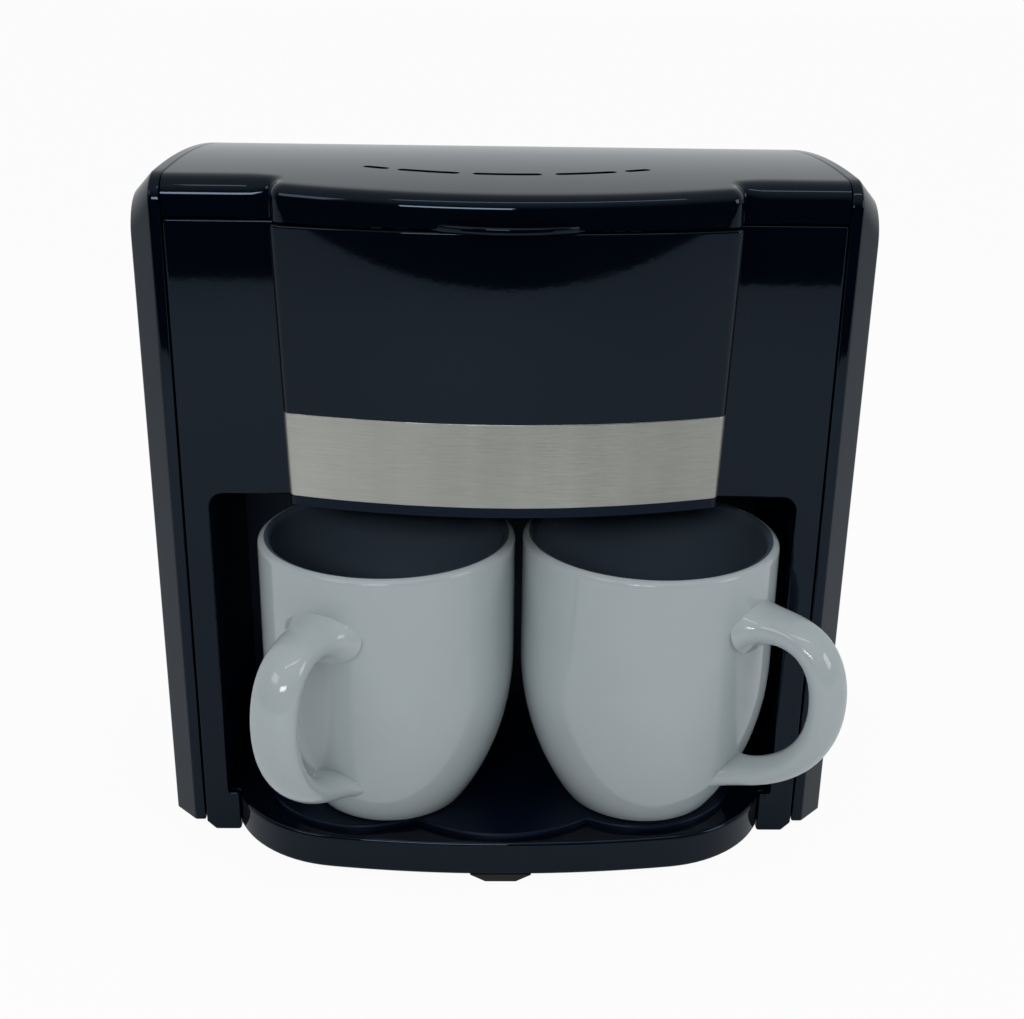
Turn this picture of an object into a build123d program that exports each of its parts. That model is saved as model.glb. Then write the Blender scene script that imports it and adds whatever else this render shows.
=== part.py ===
"""Two-cup drip coffee maker: a gloss casing with a cup niche, brew head, hinged lid, heater and two mugs."""

import os
from math import asin, atan2, cos, degrees, hypot, radians, sin, sqrt

from build123d import *

os.makedirs("parts", exist_ok=True)

# Casing sizes in millimetres
inner_width = 200.0
body_depth = 118.0
body_height = 220.0
crown_setback = 50.0
crown_radius = 520.0
panel_strip = 3.2
panel_bevel = 7.8
panel_corner = 9.0
panel_wall = 2.2
panel_rim = 13.0
panel_bottom = 4.0
wall = 2.4
seam = 0.4
touch_gap = 0.3
fit_gap = 0.05

# Fascia, niche and base sizes
column_width = 8.4
pour_gap = 14.0
niche_share = 0.5254
niche_corner = 4.5
niche_wall = 2.0
column_foot = 12.0
column_chamfer = 3.0
fascia_bar = 3.4
head_window = 58.0
flange_depth = 11.0
base_bottom = 2.5
base_top = 14.3
base_skin = 2.0
tray_reach = 29.2
tray_shoulder_gap = 45.0
tray_front_radius = 380.0
plate_thickness = 2.0
rest_height = 2.0
rest_side_gap = 46.1
rest_side_radius = 33.3
rest_side_setback = 11.0
rest_centre_radius = 45.0
rest_centre_setback = 18.0
foot_tip = 9.8
foot_base = 19.6
foot_length = 11.0
rear_foot_radius = 9.0
rear_foot_gap = (22.0, 20.0)

# Brew head sizes
head_half_bottom = 65.3
head_half_top = 68.0
head_reach = 19.5
head_corner_reach = 8.6
head_corner = 3.5
floor_lip = 2.9
band_height = 26.0
band_sheet = 0.8

# Lid and hinge sizes
lid_depth = 14.3
lid_gap = 1.7
lid_half_bulge = 67.7
lid_edge_round = 4.0
hinge_radius = 6.0
pin_radius = 2.0
pin_grip = 6.0
pin_reach = 8.0
tab_half = 21.5
tab_reach = 5.0
tab_thickness = 2.0
slot_width = 3.0
slot_setback = 9.0
slot_arc_radius = 95.0
slot_spans = [(-41.5, -36.5), (-31.0, -15.5), (-8.7, 8.7), (15.5, 31.0), (36.5, 41.5)]
liner_drop = 9.0
liner_thickness = 2.0
vent_window = (100.0, 20.0)
vent_share = 0.35

# Brewing sizes
deck_drop = 21.5
deck_thickness = 2.0
flange_lip = 2.5
funnel_flange_height = 1.5
funnel_collar = 10.5
throat_rise = 19.4
funnel_throat_radius = 14.0
funnel_wall = 2.0
funnel_outlet = 6.0
outlet_bore = 4.0
outlet_length = 9.0
spout_inset = 1.95
spout_setback = 10.0
spout_radius = 4.5
spout_bore = 3.0
spout_drop = 3.6
manifold_end = 7.0
manifold_height = 9.8
manifold_depth = 32.0
filter_gap = 2.4
filter_bottom_radius = 10.0
filter_stand = 4.0
filter_collar = 8.3
filter_rim_gap = 3.0
filter_rim_height = 1.7
filter_wall = 2.0
filter_ribs = 6
window_shares = (0.14, 0.905)
window_angles = (20.0, 24.0)
mesh_shares = (0.09, 0.95)
mesh_thickness = 0.6
handle_tab = (3.0, 18.0, 7.0)
spray_radius = 15.0
spray_thickness = 2.0
spray_holes = 6
spray_hole = 1.2
spray_ring = 9.0
spray_inlet = 4.5
channel_height = 4.5
channel_width = 15.0
channel_wall = 2.0
channel_floor = 1.4

# Water and heating sizes
tank_left_gap = 12.0
tank_right_gap = 40.0
tank_front_gap = 2.5
tank_rear_gap = 18.0
tank_bottom = 105.0
tank_wall = 2.0
tank_lip = 3.5
tube_rear_gap = 34.0
tube_side_gap = 22.0
spigot_radius = 5.0
spigot_bore = 3.0
spigot_length = 10.0
hose_wall = 1.4
hose_bend = 12.0
valve_radius = 8.0
valve_drop = 7.0
valve_length = 26.0
ball_radius = 3.2
ball_room = 4.2
ball_seat = 2.2
ball_rise = 5.0
ball_room_height = 8.0
heater_side_gap = 50.0
heater_z = 38.0
heater_depth = 16.0
heater_height = 31.5
heater_corner = 5.0
element_rise = 16.0
element_radius = 4.0
element_reach = 8.0
stub_length = 14.0
pin_wire = 1.2
bracket_sheet = 1.6
bracket_depth = 18.0
bracket_rise = 8.0
clip_width = 4.0
clip_sheet = 1.0
hose_end = 4.0
thermostat_share = 0.44
thermostat_radius = 7.0
thermostat_height = 6.0
fuse_shares = (0.16, 0.72)
fuse_radius = 2.5
terminal_size = (22.0, 12.0, 13.7)
terminal_gap = 15.0
terminal_rear_gap = 14.0
lead_radius = 1.4
lead_bend = 3.5
lead_side_run = 4.2
lead_end_run = 6.3
gland_side_gap = 24.0
gland_z = 24.0
gland_radius = 5.5
gland_flange = 7.5
gland_flange_height = 1.2
gland_bore = 3.6
gland_length = 14.0

# Switch sizes
switch_rear_gap = 36.0
switch_z = 62.0
switch_recess = (22.0, 32.0, 2.5)
switch_corner = 2.0
switch_body_size = (14.0, 24.0)
switch_bezel = (18.0, 28.0, 1.0)
switch_depth = 15.0
switch_pad = 6.0
rocker_size = (9.4, 19.2)
rocker_room = 0.9
rocker_tilt = 8.0
rocker_thickness = 6.0
rocker_pivot_depth = 3.2
rocker_pin = 1.2
rocker_pin_reach = 1.4

# Screw sizes
screw_head = 3.5
screw_head_height = 1.6
screw_radius = 1.5
screw_length = 8.0
boss_radius = 4.0
front_screw_gap = (30.0, 14.0)
back_screw_gap = (40.0, 14.0)
rear_screw_gap = 30.0
bracket_screw_gap = 20.0

# Mug sizes
mug_height = 91.0
mug_left_gap = 13.9
mug_gap = 2.3
mug_right_gap = 3.8
mug_wall = 4.0
mug_foot_share = 0.625
mug_floor = 5.0
mug_shoulder = 50.0
mug_rim_round = 1.8
mug_setback = 5.5
mug_left_angle = 26.0
mug_right_angle = 50.0
grip_reach = 25.45
grip_width = 13.0
grip_thickness = 9.5
grip_top = 70.0
grip_turn = 34.0
grip_end = 13.0
grip_bend = 22.0

# Places worked out from the sizes, with y measured from the fascia's front face at y_front
half_in = inner_width / 2
half_out = half_in + panel_strip + panel_bevel
half_fascia = half_in - seam
block_half = half_in - column_foot
niche_half = half_in - column_width
niche_depth = niche_share * body_depth
rest_top = base_top + rest_height
niche_top = rest_top + touch_gap + mug_height + pour_gap
band_bottom = niche_top + floor_lip
band_top = band_bottom + band_height
fascia_top = body_height - lid_depth
lid_lip = fascia_top + lid_gap
liner_bottom = body_height - liner_drop
deck_top = body_height - deck_drop
deck_bottom = deck_top - deck_thickness

mug_radius = (2 * niche_half - mug_left_gap - mug_gap - mug_right_gap) / 4
mug_left_x = mug_left_gap + mug_radius - niche_half
mug_right_x = niche_half - mug_right_gap - mug_radius
mug_foot = mug_foot_share * mug_radius
grip_radius = mug_radius + grip_reach
spout_x = mug_radius + mug_gap / 2 - spout_inset
manifold_half = spout_x + manifold_end

tank_left = tank_left_gap - half_in
tank_right = half_in - tank_right_gap
tank_front = niche_depth + niche_wall + tank_front_gap
tank_rear = body_depth - tank_rear_gap
inlet_x = tube_side_gap - half_in
riser_x = half_in - tube_side_gap
valve_top = tank_bottom - valve_drop
valve_bottom = valve_top - valve_length
ball_floor = valve_bottom + ball_rise
ball_roof = ball_floor + ball_room_height

funnel_flange = (tank_front + head_reach - wall) / 2 - touch_gap
funnel_radius = funnel_flange - flange_lip
funnel_throat = niche_top + throat_rise
funnel_shoulder = deck_top - funnel_collar
filter_radius = funnel_radius - funnel_wall - filter_gap
filter_rim = funnel_flange - filter_rim_gap
filter_bottom = funnel_throat + filter_stand
filter_shoulder = deck_top - filter_collar

heater_half = half_in - heater_side_gap
thermostat_x = -thermostat_share * heater_half
fuse_left = fuse_shares[0] * heater_half
fuse_right = fuse_shares[1] * heater_half
terminal_x = fuse_right + terminal_gap
gland_x = half_in - gland_side_gap
rear_screw_side = half_in - rear_screw_gap

lean = radians(mug_left_angle)
grip_support = hypot(grip_thickness / 2 * cos(lean), grip_width / 2 * sin(lean))
front_reach = grip_radius * cos(lean) + grip_support - mug_setback
y_front = -(body_depth - front_reach) / 2
y_rear = y_front + body_depth
y_cover = y_rear - wall
y_fascia_back = y_front + wall
y_filter = y_front + tank_front - funnel_flange
y_tube = y_rear - tube_rear_gap
hose_radius = spigot_radius + hose_wall + fit_gap


def crown_z(y):
    """Height of the casing's crowned top at a place y."""
    run = y - y_front - crown_setback
    return body_height - crown_radius + sqrt(crown_radius**2 - run**2)


hinge_y = y_rear - hinge_radius
hinge_z = crown_z(hinge_y) - hinge_radius


def upright(y):
    """Vertical plane facing the front at a place y."""
    return Plane.XZ.offset(-y)


def head_half(z):
    """Half width of the brew head, which tapers towards its bottom."""
    share = (z - niche_top) / (fascia_top - niche_top)
    return head_half_bottom + (head_half_top - head_half_bottom) * share


def head_outline(half, inset=0.0, back=0.0):
    """Plan of the bowed brew head, drawn in the open sketch."""
    side = half - inset
    corner_y = y_front - head_corner_reach + inset
    with BuildLine() as outline:
        ThreePointArc((-side, corner_y), (0, y_front - head_reach + inset), (side, corner_y))
        Polyline((side, corner_y), (side, y_front + back), (-side, y_front + back), (-side, corner_y))
    corners = make_face(outline.edges()).vertices().group_by(Axis.Y)[0]
    fillet(corners, radius=max(head_corner - inset / 2, 1.0))


def side_outline(inset=0.0):
    """Side view of the casing under its crowned top, drawn in the open sketch."""
    front = y_front + inset
    rear = y_rear - inset
    crown = y_front + crown_setback
    low = panel_bottom + inset
    with BuildLine() as outline:
        ThreePointArc(
            (front, crown_z(front) - inset),
            (crown, body_height - inset),
            (rear, crown_z(rear) - inset),
        )
        Polyline((rear, crown_z(rear) - inset), (rear, low), (front, low), (front, crown_z(front) - inset))
    top_corner = make_face(outline.edges()).vertices().group_by(Axis.X)[0].sort_by(Axis.Y)[-1]
    fillet(top_corner, radius=max(panel_corner - inset, 1.0))


def tube_path(points, bend):
    """Straight runs joined by tangent arcs."""
    with BuildLine() as route:
        FilletPolyline(*points, radius=bend)
    return route.wires()[0]


def tube(points, bend, radius, bore=0.0):
    """Round tube or wire along straight runs and arcs."""
    path = tube_path(points, bend)
    with BuildPart() as piece:
        with BuildSketch(Plane(origin=path @ 0, z_dir=path % 0)):
            Circle(radius)
            if bore:
                Circle(bore, mode=Mode.SUBTRACT)
        sweep(path=path)
    return piece.part


def screw(points, z_dir):
    """Pan-head screws with their heads on the given points, driven along -z_dir."""
    with BuildPart() as piece:
        for point in points:
            seat = Plane(origin=point, z_dir=z_dir)
            with BuildSketch(seat):
                Circle(screw_head)
            extrude(amount=screw_head_height)
            with BuildSketch(seat):
                Circle(screw_radius)
            extrude(amount=-screw_length)
    return piece.part


def write(part, name):
    """Label a finished piece and write its file."""
    part.label = name
    export_step(part, f"parts/{name}.step")


# Side panels: bevelled along the front, top and rear edges, hollow inside, with a hole for the lid's pin
with BuildPart() as panel_blank:
    with BuildSketch(Plane.YZ.offset(half_in)):
        side_outline()
    extrude(amount=panel_strip + panel_bevel)
    outer_edges = panel_blank.faces().sort_by(Axis.X)[-1].edges().sort_by(Axis.Z)
    chamfer(outer_edges[1:], length=panel_bevel)
    with BuildSketch(Plane.YZ.offset(half_in)):
        side_outline(panel_rim)
    extrude(amount=panel_strip + panel_bevel - panel_wall, mode=Mode.SUBTRACT)
    with BuildSketch(Plane.YZ.offset(half_in)):
        with Locations((hinge_y, hinge_z)):
            Circle(pin_radius + fit_gap)
    extrude(amount=pin_grip, mode=Mode.SUBTRACT)

with BuildPart() as left_side_panel:
    mirror(panel_blank.part, about=Plane.YZ)
write(left_side_panel.part, "left_side_panel")

switch_y = y_rear - switch_rear_gap
recess_x = half_out - switch_recess[2]
with BuildPart() as right_side_panel:
    add(panel_blank.part)
    with BuildSketch(Plane.YZ.offset(recess_x - switch_pad / 2)):
        with Locations((switch_y, switch_z)):
            Rectangle(switch_recess[0] + 2 * switch_pad, switch_recess[1] + 2 * switch_pad)
    extrude(amount=switch_pad / 2 + switch_recess[2] - panel_wall / 2)
    with BuildSketch(Plane.YZ.offset(half_out)):
        with Locations((switch_y, switch_z)):
            RectangleRounded(switch_recess[0], switch_recess[1], switch_corner)
    extrude(amount=-switch_recess[2], mode=Mode.SUBTRACT)
    with BuildSketch(Plane.YZ.offset(half_out)):
        with Locations((switch_y, switch_z)):
            Rectangle(switch_body_size[0] + 2 * fit_gap, switch_body_size[1] + 2 * fit_gap)
    extrude(amount=-(half_out - half_in), mode=Mode.SUBTRACT)
write(right_side_panel.part, "right_side_panel")

# Front fascia: two columns down to the table, joined by a bar under the brew head
with BuildPart() as front_fascia:
    with BuildSketch(upright(y_fascia_back)) as fascia_face:
        with Locations((0, fascia_top / 2)):
            Rectangle(2 * half_fascia, fascia_top)
        chamfer(fascia_face.vertices().group_by(Axis.Y)[0], length=column_chamfer)
        with BuildLine():
            FilletPolyline(
                (-niche_half, base_top),
                (-niche_half, niche_top),
                (niche_half, niche_top),
                (niche_half, base_top),
                radius=niche_corner,
            )
            Line((niche_half, base_top), (-niche_half, base_top))
        make_face(mode=Mode.SUBTRACT)
        with Locations((0, base_top / 2)):
            Rectangle(2 * block_half, base_top, mode=Mode.SUBTRACT)
        with Locations((0, niche_top + fascia_bar)):
            Rectangle(2 * head_window, fascia_top, align=(Align.CENTER, Align.MIN), mode=Mode.SUBTRACT)
    extrude(amount=wall)
    with BuildSketch(Plane.XY.offset(base_top + touch_gap)):
        with Locations((half_fascia, y_fascia_back), (-half_fascia + wall, y_fascia_back)):
            Rectangle(wall, flange_depth, align=(Align.MAX, Align.MIN))
    extrude(amount=deck_bottom - base_top - 2 * touch_gap)
write(front_fascia.part, "front_fascia")

# Niche liner: side walls, ceiling and back wall of the cup niche, with holes for the spouts
spout_points = [(side * spout_x, y_front + spout_setback) for side in (1, -1)]
with BuildPart() as niche_liner:
    with BuildSketch(upright(y_front + niche_depth + niche_wall)):
        with BuildLine():
            FilletPolyline(
                (-niche_half - niche_wall, base_top),
                (-niche_half - niche_wall, niche_top + niche_wall),
                (niche_half + niche_wall, niche_top + niche_wall),
                (niche_half + niche_wall, base_top),
                radius=niche_corner + niche_wall,
            )
            Line((niche_half + niche_wall, base_top), (-niche_half - niche_wall, base_top))
        make_face()
    extrude(amount=niche_depth + niche_wall - wall)
    with BuildSketch(upright(y_front + niche_depth)):
        with BuildLine():
            FilletPolyline(
                (-niche_half, 0),
                (-niche_half, niche_top),
                (niche_half, niche_top),
                (niche_half, 0),
                radius=niche_corner,
            )
            Line((niche_half, 0), (-niche_half, 0))
        make_face()
    extrude(amount=niche_depth, mode=Mode.SUBTRACT)
    with BuildSketch(Plane.XY.offset(niche_top - niche_wall)):
        with Locations(*spout_points):
            Circle(spout_radius + touch_gap)
    extrude(amount=3 * niche_wall, mode=Mode.SUBTRACT)
write(niche_liner.part, "niche_liner")


def tray_outline():
    """Plan of the base: a bowed tray in front of the fascia and a box behind it."""
    edge = block_half - touch_gap
    tray_shoulder = half_in - tray_shoulder_gap
    shoulder_y = y_front - tray_reach + tray_front_radius
    shoulder_y -= sqrt(tray_front_radius**2 - tray_shoulder**2)
    with BuildLine() as outline:
        left_shoulder = (-tray_shoulder, shoulder_y)
        right_shoulder = (tray_shoulder, shoulder_y)
        bow = ThreePointArc(left_shoulder, (0, y_front - tray_reach), right_shoulder)
        TangentArc(right_shoulder, (edge, y_front), tangent=bow % 1)
        TangentArc(left_shoulder, (-edge, y_front), tangent=(bow % 0) * -1)
        back = y_fascia_back + wall
        Polyline((edge, y_front), (edge, back), (-edge, back), (-edge, y_front))
    make_face(outline.edges())
    with Locations((0, (y_fascia_back + y_cover) / 2)):
        Rectangle(2 * half_fascia, y_cover - y_fascia_back)


front_screw_x = half_in - front_screw_gap[0]
back_screw_x = half_in - back_screw_gap[0]
base_screw_points = [
    (front_screw_x, y_front + front_screw_gap[1]),
    (-front_screw_x, y_front + front_screw_gap[1]),
    (back_screw_x, y_rear - back_screw_gap[1]),
    (-back_screw_x, y_rear - back_screw_gap[1]),
]
bracket_screw_points = [(side * (heater_half - bracket_screw_gap), y_tube) for side in (1, -1)]
lower_screw_z = (base_top + base_bottom) / 2

# Base pan: open underneath, with screw bosses under its skin
with BuildPart() as base_pan:
    with BuildSketch(Plane.XY.offset(base_bottom)):
        tray_outline()
    extrude(amount=base_top - base_bottom)
    with BuildSketch(Plane.XY.offset(base_bottom)):
        tray_outline()
        offset(amount=-wall, kind=Kind.INTERSECTION, mode=Mode.REPLACE)
    extrude(amount=base_top - base_bottom - base_skin, mode=Mode.SUBTRACT)
    with BuildSketch(Plane.XY.offset(base_bottom + plate_thickness)):
        with Locations(*base_screw_points, *bracket_screw_points):
            Circle(boss_radius)
    extrude(amount=base_top - base_bottom - plate_thickness)
    with BuildSketch(Plane.XY.offset(base_bottom)):
        with Locations(*base_screw_points):
            Circle(screw_radius + fit_gap)
    extrude(amount=plate_thickness + screw_length, mode=Mode.SUBTRACT)
    with BuildSketch(Plane.XY.offset(base_top)):
        with Locations(*bracket_screw_points):
            Circle(screw_radius + fit_gap)
    extrude(amount=-screw_length, mode=Mode.SUBTRACT)
    with BuildSketch(upright(y_cover)):
        with Locations((rear_screw_side, lower_screw_z), (-rear_screw_side, lower_screw_z)):
            Circle(screw_radius + fit_gap)
    extrude(amount=screw_length, mode=Mode.SUBTRACT)
write(base_pan.part, "base_pan")

# Bottom plate: closes the base pan from below
with BuildPart() as bottom_plate:
    with BuildSketch(Plane.XY.offset(base_bottom)):
        tray_outline()
        offset(amount=-wall - touch_gap, kind=Kind.INTERSECTION, mode=Mode.REPLACE)
        with Locations(*base_screw_points):
            Circle(screw_radius + fit_gap, mode=Mode.SUBTRACT)
    extrude(amount=plate_thickness)
write(bottom_plate.part, "bottom_plate")

base_screws = screw([(x, y, base_bottom) for x, y in base_screw_points], (0, 0, -1))
write(base_screws, "base_screws")

# Front foot: a rubber wedge under the tray's front edge
with BuildPart() as front_foot:
    with BuildSketch(upright(y_front - tray_reach + foot_length)):
        with BuildLine():
            Polyline(
                (-foot_tip / 2, 0),
                (foot_tip / 2, 0),
                (foot_base / 2, base_bottom),
                (-foot_base / 2, base_bottom),
                close=True,
            )
        make_face()
    extrude(amount=foot_length)
write(front_foot.part, "front_foot")

rear_foot_x = half_in - rear_foot_gap[0]
rear_foot_y = y_rear - rear_foot_gap[1]
with BuildPart() as rear_feet:
    with BuildSketch():
        with Locations((rear_foot_x, rear_foot_y), (-rear_foot_x, rear_foot_y)):
            Circle(rear_foot_radius)
    extrude(amount=base_bottom)
write(rear_feet.part, "rear_feet")

# Cup rest: a raised plate with two side lobes and a wider middle one
rest_back = y_front + niche_depth - touch_gap
rest_side = niche_half - rest_side_gap
with BuildPart() as cup_rest:
    with BuildSketch(Plane.XY.offset(base_top)):
        with Locations((rest_side, y_front + rest_side_setback), (-rest_side, y_front + rest_side_setback)):
            Circle(rest_side_radius)
        with Locations((0, y_front + rest_centre_setback)):
            Circle(rest_centre_radius)
        with Locations((0, y_front + rest_side_setback)):
            Rectangle(
                2 * (rest_side + rest_side_radius),
                rest_back - y_front - rest_side_setback,
                align=(Align.CENTER, Align.MIN),
            )
    extrude(amount=rest_height)
    with BuildSketch(Plane.XY.offset(base_top)):
        with Locations((0, rest_back)):
            Rectangle(inner_width, rest_centre_radius, align=(Align.CENTER, Align.MIN))
    extrude(amount=rest_height, mode=Mode.SUBTRACT)
write(cup_rest.part, "cup_rest")

# Rear cover: a flat panel with the cord hole and four screw holes
upper_screw_z = deck_bottom - boss_radius - screw_radius
rear_screw_points = [
    (side * rear_screw_side, y_rear, z) for side in (1, -1) for z in (lower_screw_z, upper_screw_z)
]
cover_top = hinge_z - hinge_radius - screw_radius
with BuildPart() as rear_cover:
    with BuildSketch(upright(y_rear)):
        with Locations((0, (panel_bottom + cover_top) / 2)):
            Rectangle(2 * half_fascia, cover_top - panel_bottom)
        with Locations((gland_x, gland_z)):
            Circle(gland_radius + fit_gap, mode=Mode.SUBTRACT)
        with Locations(*[(x, z) for x, _, z in rear_screw_points]):
            Circle(screw_radius + fit_gap, mode=Mode.SUBTRACT)
    extrude(amount=wall)
    with BuildSketch(upright(y_rear)):
        with Locations((gland_x, gland_z)):
            Circle(gland_flange + touch_gap)
        with Locations(*[(x, z) for x, _, z in rear_screw_points]):
            Circle(screw_head + touch_gap)
    extrude(amount=gland_flange_height, mode=Mode.SUBTRACT)
write(rear_cover.part, "rear_cover")

screw_seat_y = y_rear - gland_flange_height
rear_screws = screw([(x, screw_seat_y, z) for x, _, z in rear_screw_points], (0, 1, 0))
write(rear_screws, "rear_screws")

# Cord gland: a bush with a flange in the rear cover's counterbore
with BuildPart() as cord_gland:
    with BuildSketch(upright(y_rear)):
        with Locations((gland_x, gland_z)):
            Circle(gland_flange)
    extrude(amount=gland_flange_height)
    with BuildSketch(upright(y_rear)):
        with Locations((gland_x, gland_z)):
            Circle(gland_radius)
    extrude(amount=gland_length)
    with BuildSketch(upright(y_rear)):
        with Locations((gland_x, gland_z)):
            Circle(gland_bore)
    extrude(amount=gland_length, mode=Mode.SUBTRACT)
write(cord_gland.part, "cord_gland")


def head_sections(low, high, inset, back=0.0):
    """Plans of the tapered brew head at two heights."""
    with BuildSketch(Plane.XY.offset(low)) as bottom:
        head_outline(head_half(low), inset, back)
    with BuildSketch(Plane.XY.offset(high)) as top:
        head_outline(head_half(high), inset, back)
    return [bottom.sketch, top.sketch]


# Brew head shell: a bowed, tapered front, thinner behind the steel band
band_seat = band_sheet + fit_gap
with BuildPart() as head_shell:
    loft(head_sections(band_top + fit_gap, fascia_top, 0.0))
    loft(head_sections(band_bottom, band_top + fit_gap, band_seat))
    loft(head_sections(band_bottom, fascia_top, wall, wall), mode=Mode.SUBTRACT)
write(head_shell.part, "head_shell")

# Steel trim band wrapped round the head's front
with BuildPart() as trim_band:
    loft(head_sections(band_bottom, band_top, 0.0))
    loft(head_sections(band_bottom, band_top, band_sheet, wall), mode=Mode.SUBTRACT)
write(trim_band.part, "trim_band")

# Head floor: the dark lip under the band
with BuildPart() as head_floor:
    with BuildSketch(Plane.XY.offset(niche_top)):
        head_outline(head_half(niche_top))
    extrude(amount=band_bottom - niche_top)
write(head_floor.part, "head_floor")

# Top deck: carries the funnel, closes the tank and reaches into the head
nozzle_place = (riser_x, y_tube)
mouth_left = tank_left + tank_wall + tank_lip
mouth_right = tank_right - tank_wall - tank_lip
mouth_front = y_front + tank_front + tank_wall + tank_lip
mouth_rear = y_front + tank_rear - tank_wall - tank_lip
deck_flange = 2 * (boss_radius + screw_radius)
with BuildPart() as top_deck:
    with BuildSketch(Plane.XY.offset(deck_bottom)):
        head_outline(head_half(deck_bottom), 2 * wall)
        with Locations((0, y_front)):
            Rectangle(2 * (head_window - touch_gap), 3 * wall)
        with Locations((0, (y_fascia_back + y_cover) / 2)):
            Rectangle(2 * half_fascia, y_cover - y_fascia_back)
        with Locations((0, y_filter)):
            Circle(funnel_radius + touch_gap, mode=Mode.SUBTRACT)
        with Locations(((mouth_left + mouth_right) / 2, (mouth_front + mouth_rear) / 2)):
            Rectangle(mouth_right - mouth_left, mouth_rear - mouth_front, mode=Mode.SUBTRACT)
        with Locations(nozzle_place):
            Circle(spigot_radius + touch_gap, mode=Mode.SUBTRACT)
    extrude(amount=deck_thickness)
    with BuildSketch(upright(y_cover)):
        with Locations((0, deck_bottom)):
            Rectangle(2 * (rear_screw_side + deck_flange), deck_flange, align=(Align.CENTER, Align.MAX))
        with Locations((rear_screw_side, upper_screw_z), (-rear_screw_side, upper_screw_z)):
            Circle(screw_radius + fit_gap, mode=Mode.SUBTRACT)
    extrude(amount=screw_length)
write(top_deck.part, "top_deck")

# Filter funnel: a cone hung from the deck, with an outlet stub
outlet_bottom = funnel_throat - outlet_length
with BuildPart() as filter_funnel:
    with BuildSketch(Plane.XZ.offset(-y_filter)):
        with BuildLine():
            Polyline(
                (outlet_bore, outlet_bottom),
                (funnel_outlet, outlet_bottom),
                (funnel_outlet, funnel_throat),
                (funnel_throat_radius, funnel_throat),
                (funnel_radius, funnel_shoulder),
                (funnel_radius, deck_top),
                (funnel_flange, deck_top),
                (funnel_flange, deck_top + funnel_flange_height),
                (funnel_radius - funnel_wall, deck_top + funnel_flange_height),
                (funnel_radius - funnel_wall, funnel_shoulder),
                (funnel_throat_radius - funnel_wall, funnel_throat + funnel_wall),
                (outlet_bore, funnel_throat + funnel_wall),
                close=True,
            )
        make_face()
    revolve(axis=Axis((0, y_filter, 0), (0, 0, 1)))
write(filter_funnel.part, "filter_funnel")

# Twin spout: a flat manifold under the funnel with an outlet over each mug
manifold_bottom = niche_top + niche_wall
y_manifold = y_front + wall + touch_gap
with BuildPart() as twin_spout:
    with BuildSketch(Plane.XY.offset(manifold_bottom)):
        with Locations((0, y_manifold)):
            Rectangle(2 * manifold_half, manifold_depth, align=(Align.CENTER, Align.MIN))
    extrude(amount=manifold_height)
    with BuildSketch(Plane.XY.offset(manifold_bottom + channel_floor)):
        with Locations((0, y_manifold + channel_floor)):
            Rectangle(
                2 * (manifold_half - channel_floor),
                manifold_depth - 2 * channel_floor,
                align=(Align.CENTER, Align.MIN),
            )
    extrude(amount=manifold_height - 2 * channel_floor, mode=Mode.SUBTRACT)
    with BuildSketch(Plane.XY.offset(manifold_bottom + manifold_height - 2 * channel_floor)):
        with Locations((0, y_filter)):
            Circle(funnel_outlet + fit_gap)
    extrude(amount=manifold_height, mode=Mode.SUBTRACT)
    with BuildSketch(Plane.XY.offset(niche_top - spout_drop)):
        with Locations(*spout_points):
            Circle(spout_radius)
    extrude(amount=spout_drop + niche_wall)
    with BuildSketch(Plane.XY.offset(niche_top - spout_drop)):
        with Locations(*spout_points):
            Circle(spout_bore)
    extrude(amount=spout_drop + niche_wall + channel_floor, mode=Mode.SUBTRACT)
write(twin_spout.part, "twin_spout")

# Permanent filter: a ribbed cone frame, its mesh and a lifting tab
filter_slope = (filter_radius - filter_bottom_radius) / (filter_shoulder - filter_bottom)
rim_bottom = deck_top + funnel_flange_height + touch_gap
rim_top = rim_bottom + filter_rim_height
cone_foot = filter_bottom + filter_wall
cone_height = filter_shoulder - cone_foot
window_low = cone_foot + window_shares[0] * cone_height
window_high = cone_foot + window_shares[1] * cone_height
window_low_radius = filter_bottom_radius + filter_slope * (window_low - filter_bottom)
window_high_radius = filter_bottom_radius + filter_slope * (window_high - filter_bottom)
low_half = window_low_radius * sin(radians(window_angles[0]))
high_half = window_high_radius * sin(radians(window_angles[1]))
with BuildPart() as filter_frame:
    with BuildSketch(Plane.XZ.offset(-y_filter)):
        with BuildLine():
            Polyline(
                (0, filter_bottom),
                (filter_bottom_radius, filter_bottom),
                (filter_radius, filter_shoulder),
                (filter_radius, rim_bottom),
                (filter_rim, rim_bottom),
                (filter_rim, rim_top),
                (filter_radius - filter_wall, rim_top),
                (filter_radius - filter_wall, filter_shoulder),
                (filter_bottom_radius - filter_wall + filter_slope * filter_wall, cone_foot),
                (0, cone_foot),
                close=True,
            )
        make_face()
    revolve(axis=Axis((0, y_filter, 0), (0, 0, 1)))
    for index in range(filter_ribs):
        turn = radians(360 / filter_ribs * (index + 0.5))
        across = (-sin(turn), cos(turn), 0)
        outward = (cos(turn), sin(turn), 0)
        facing = Plane(origin=(0, y_filter, 0), x_dir=across, z_dir=outward)
        with BuildSketch(facing):
            with BuildLine():
                Polyline(
                    (-low_half, window_low),
                    (low_half, window_low),
                    (high_half, window_high),
                    (-high_half, window_high),
                    close=True,
                )
            make_face()
        extrude(amount=filter_rim, mode=Mode.SUBTRACT)
write(filter_frame.part, "filter_frame")

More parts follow.
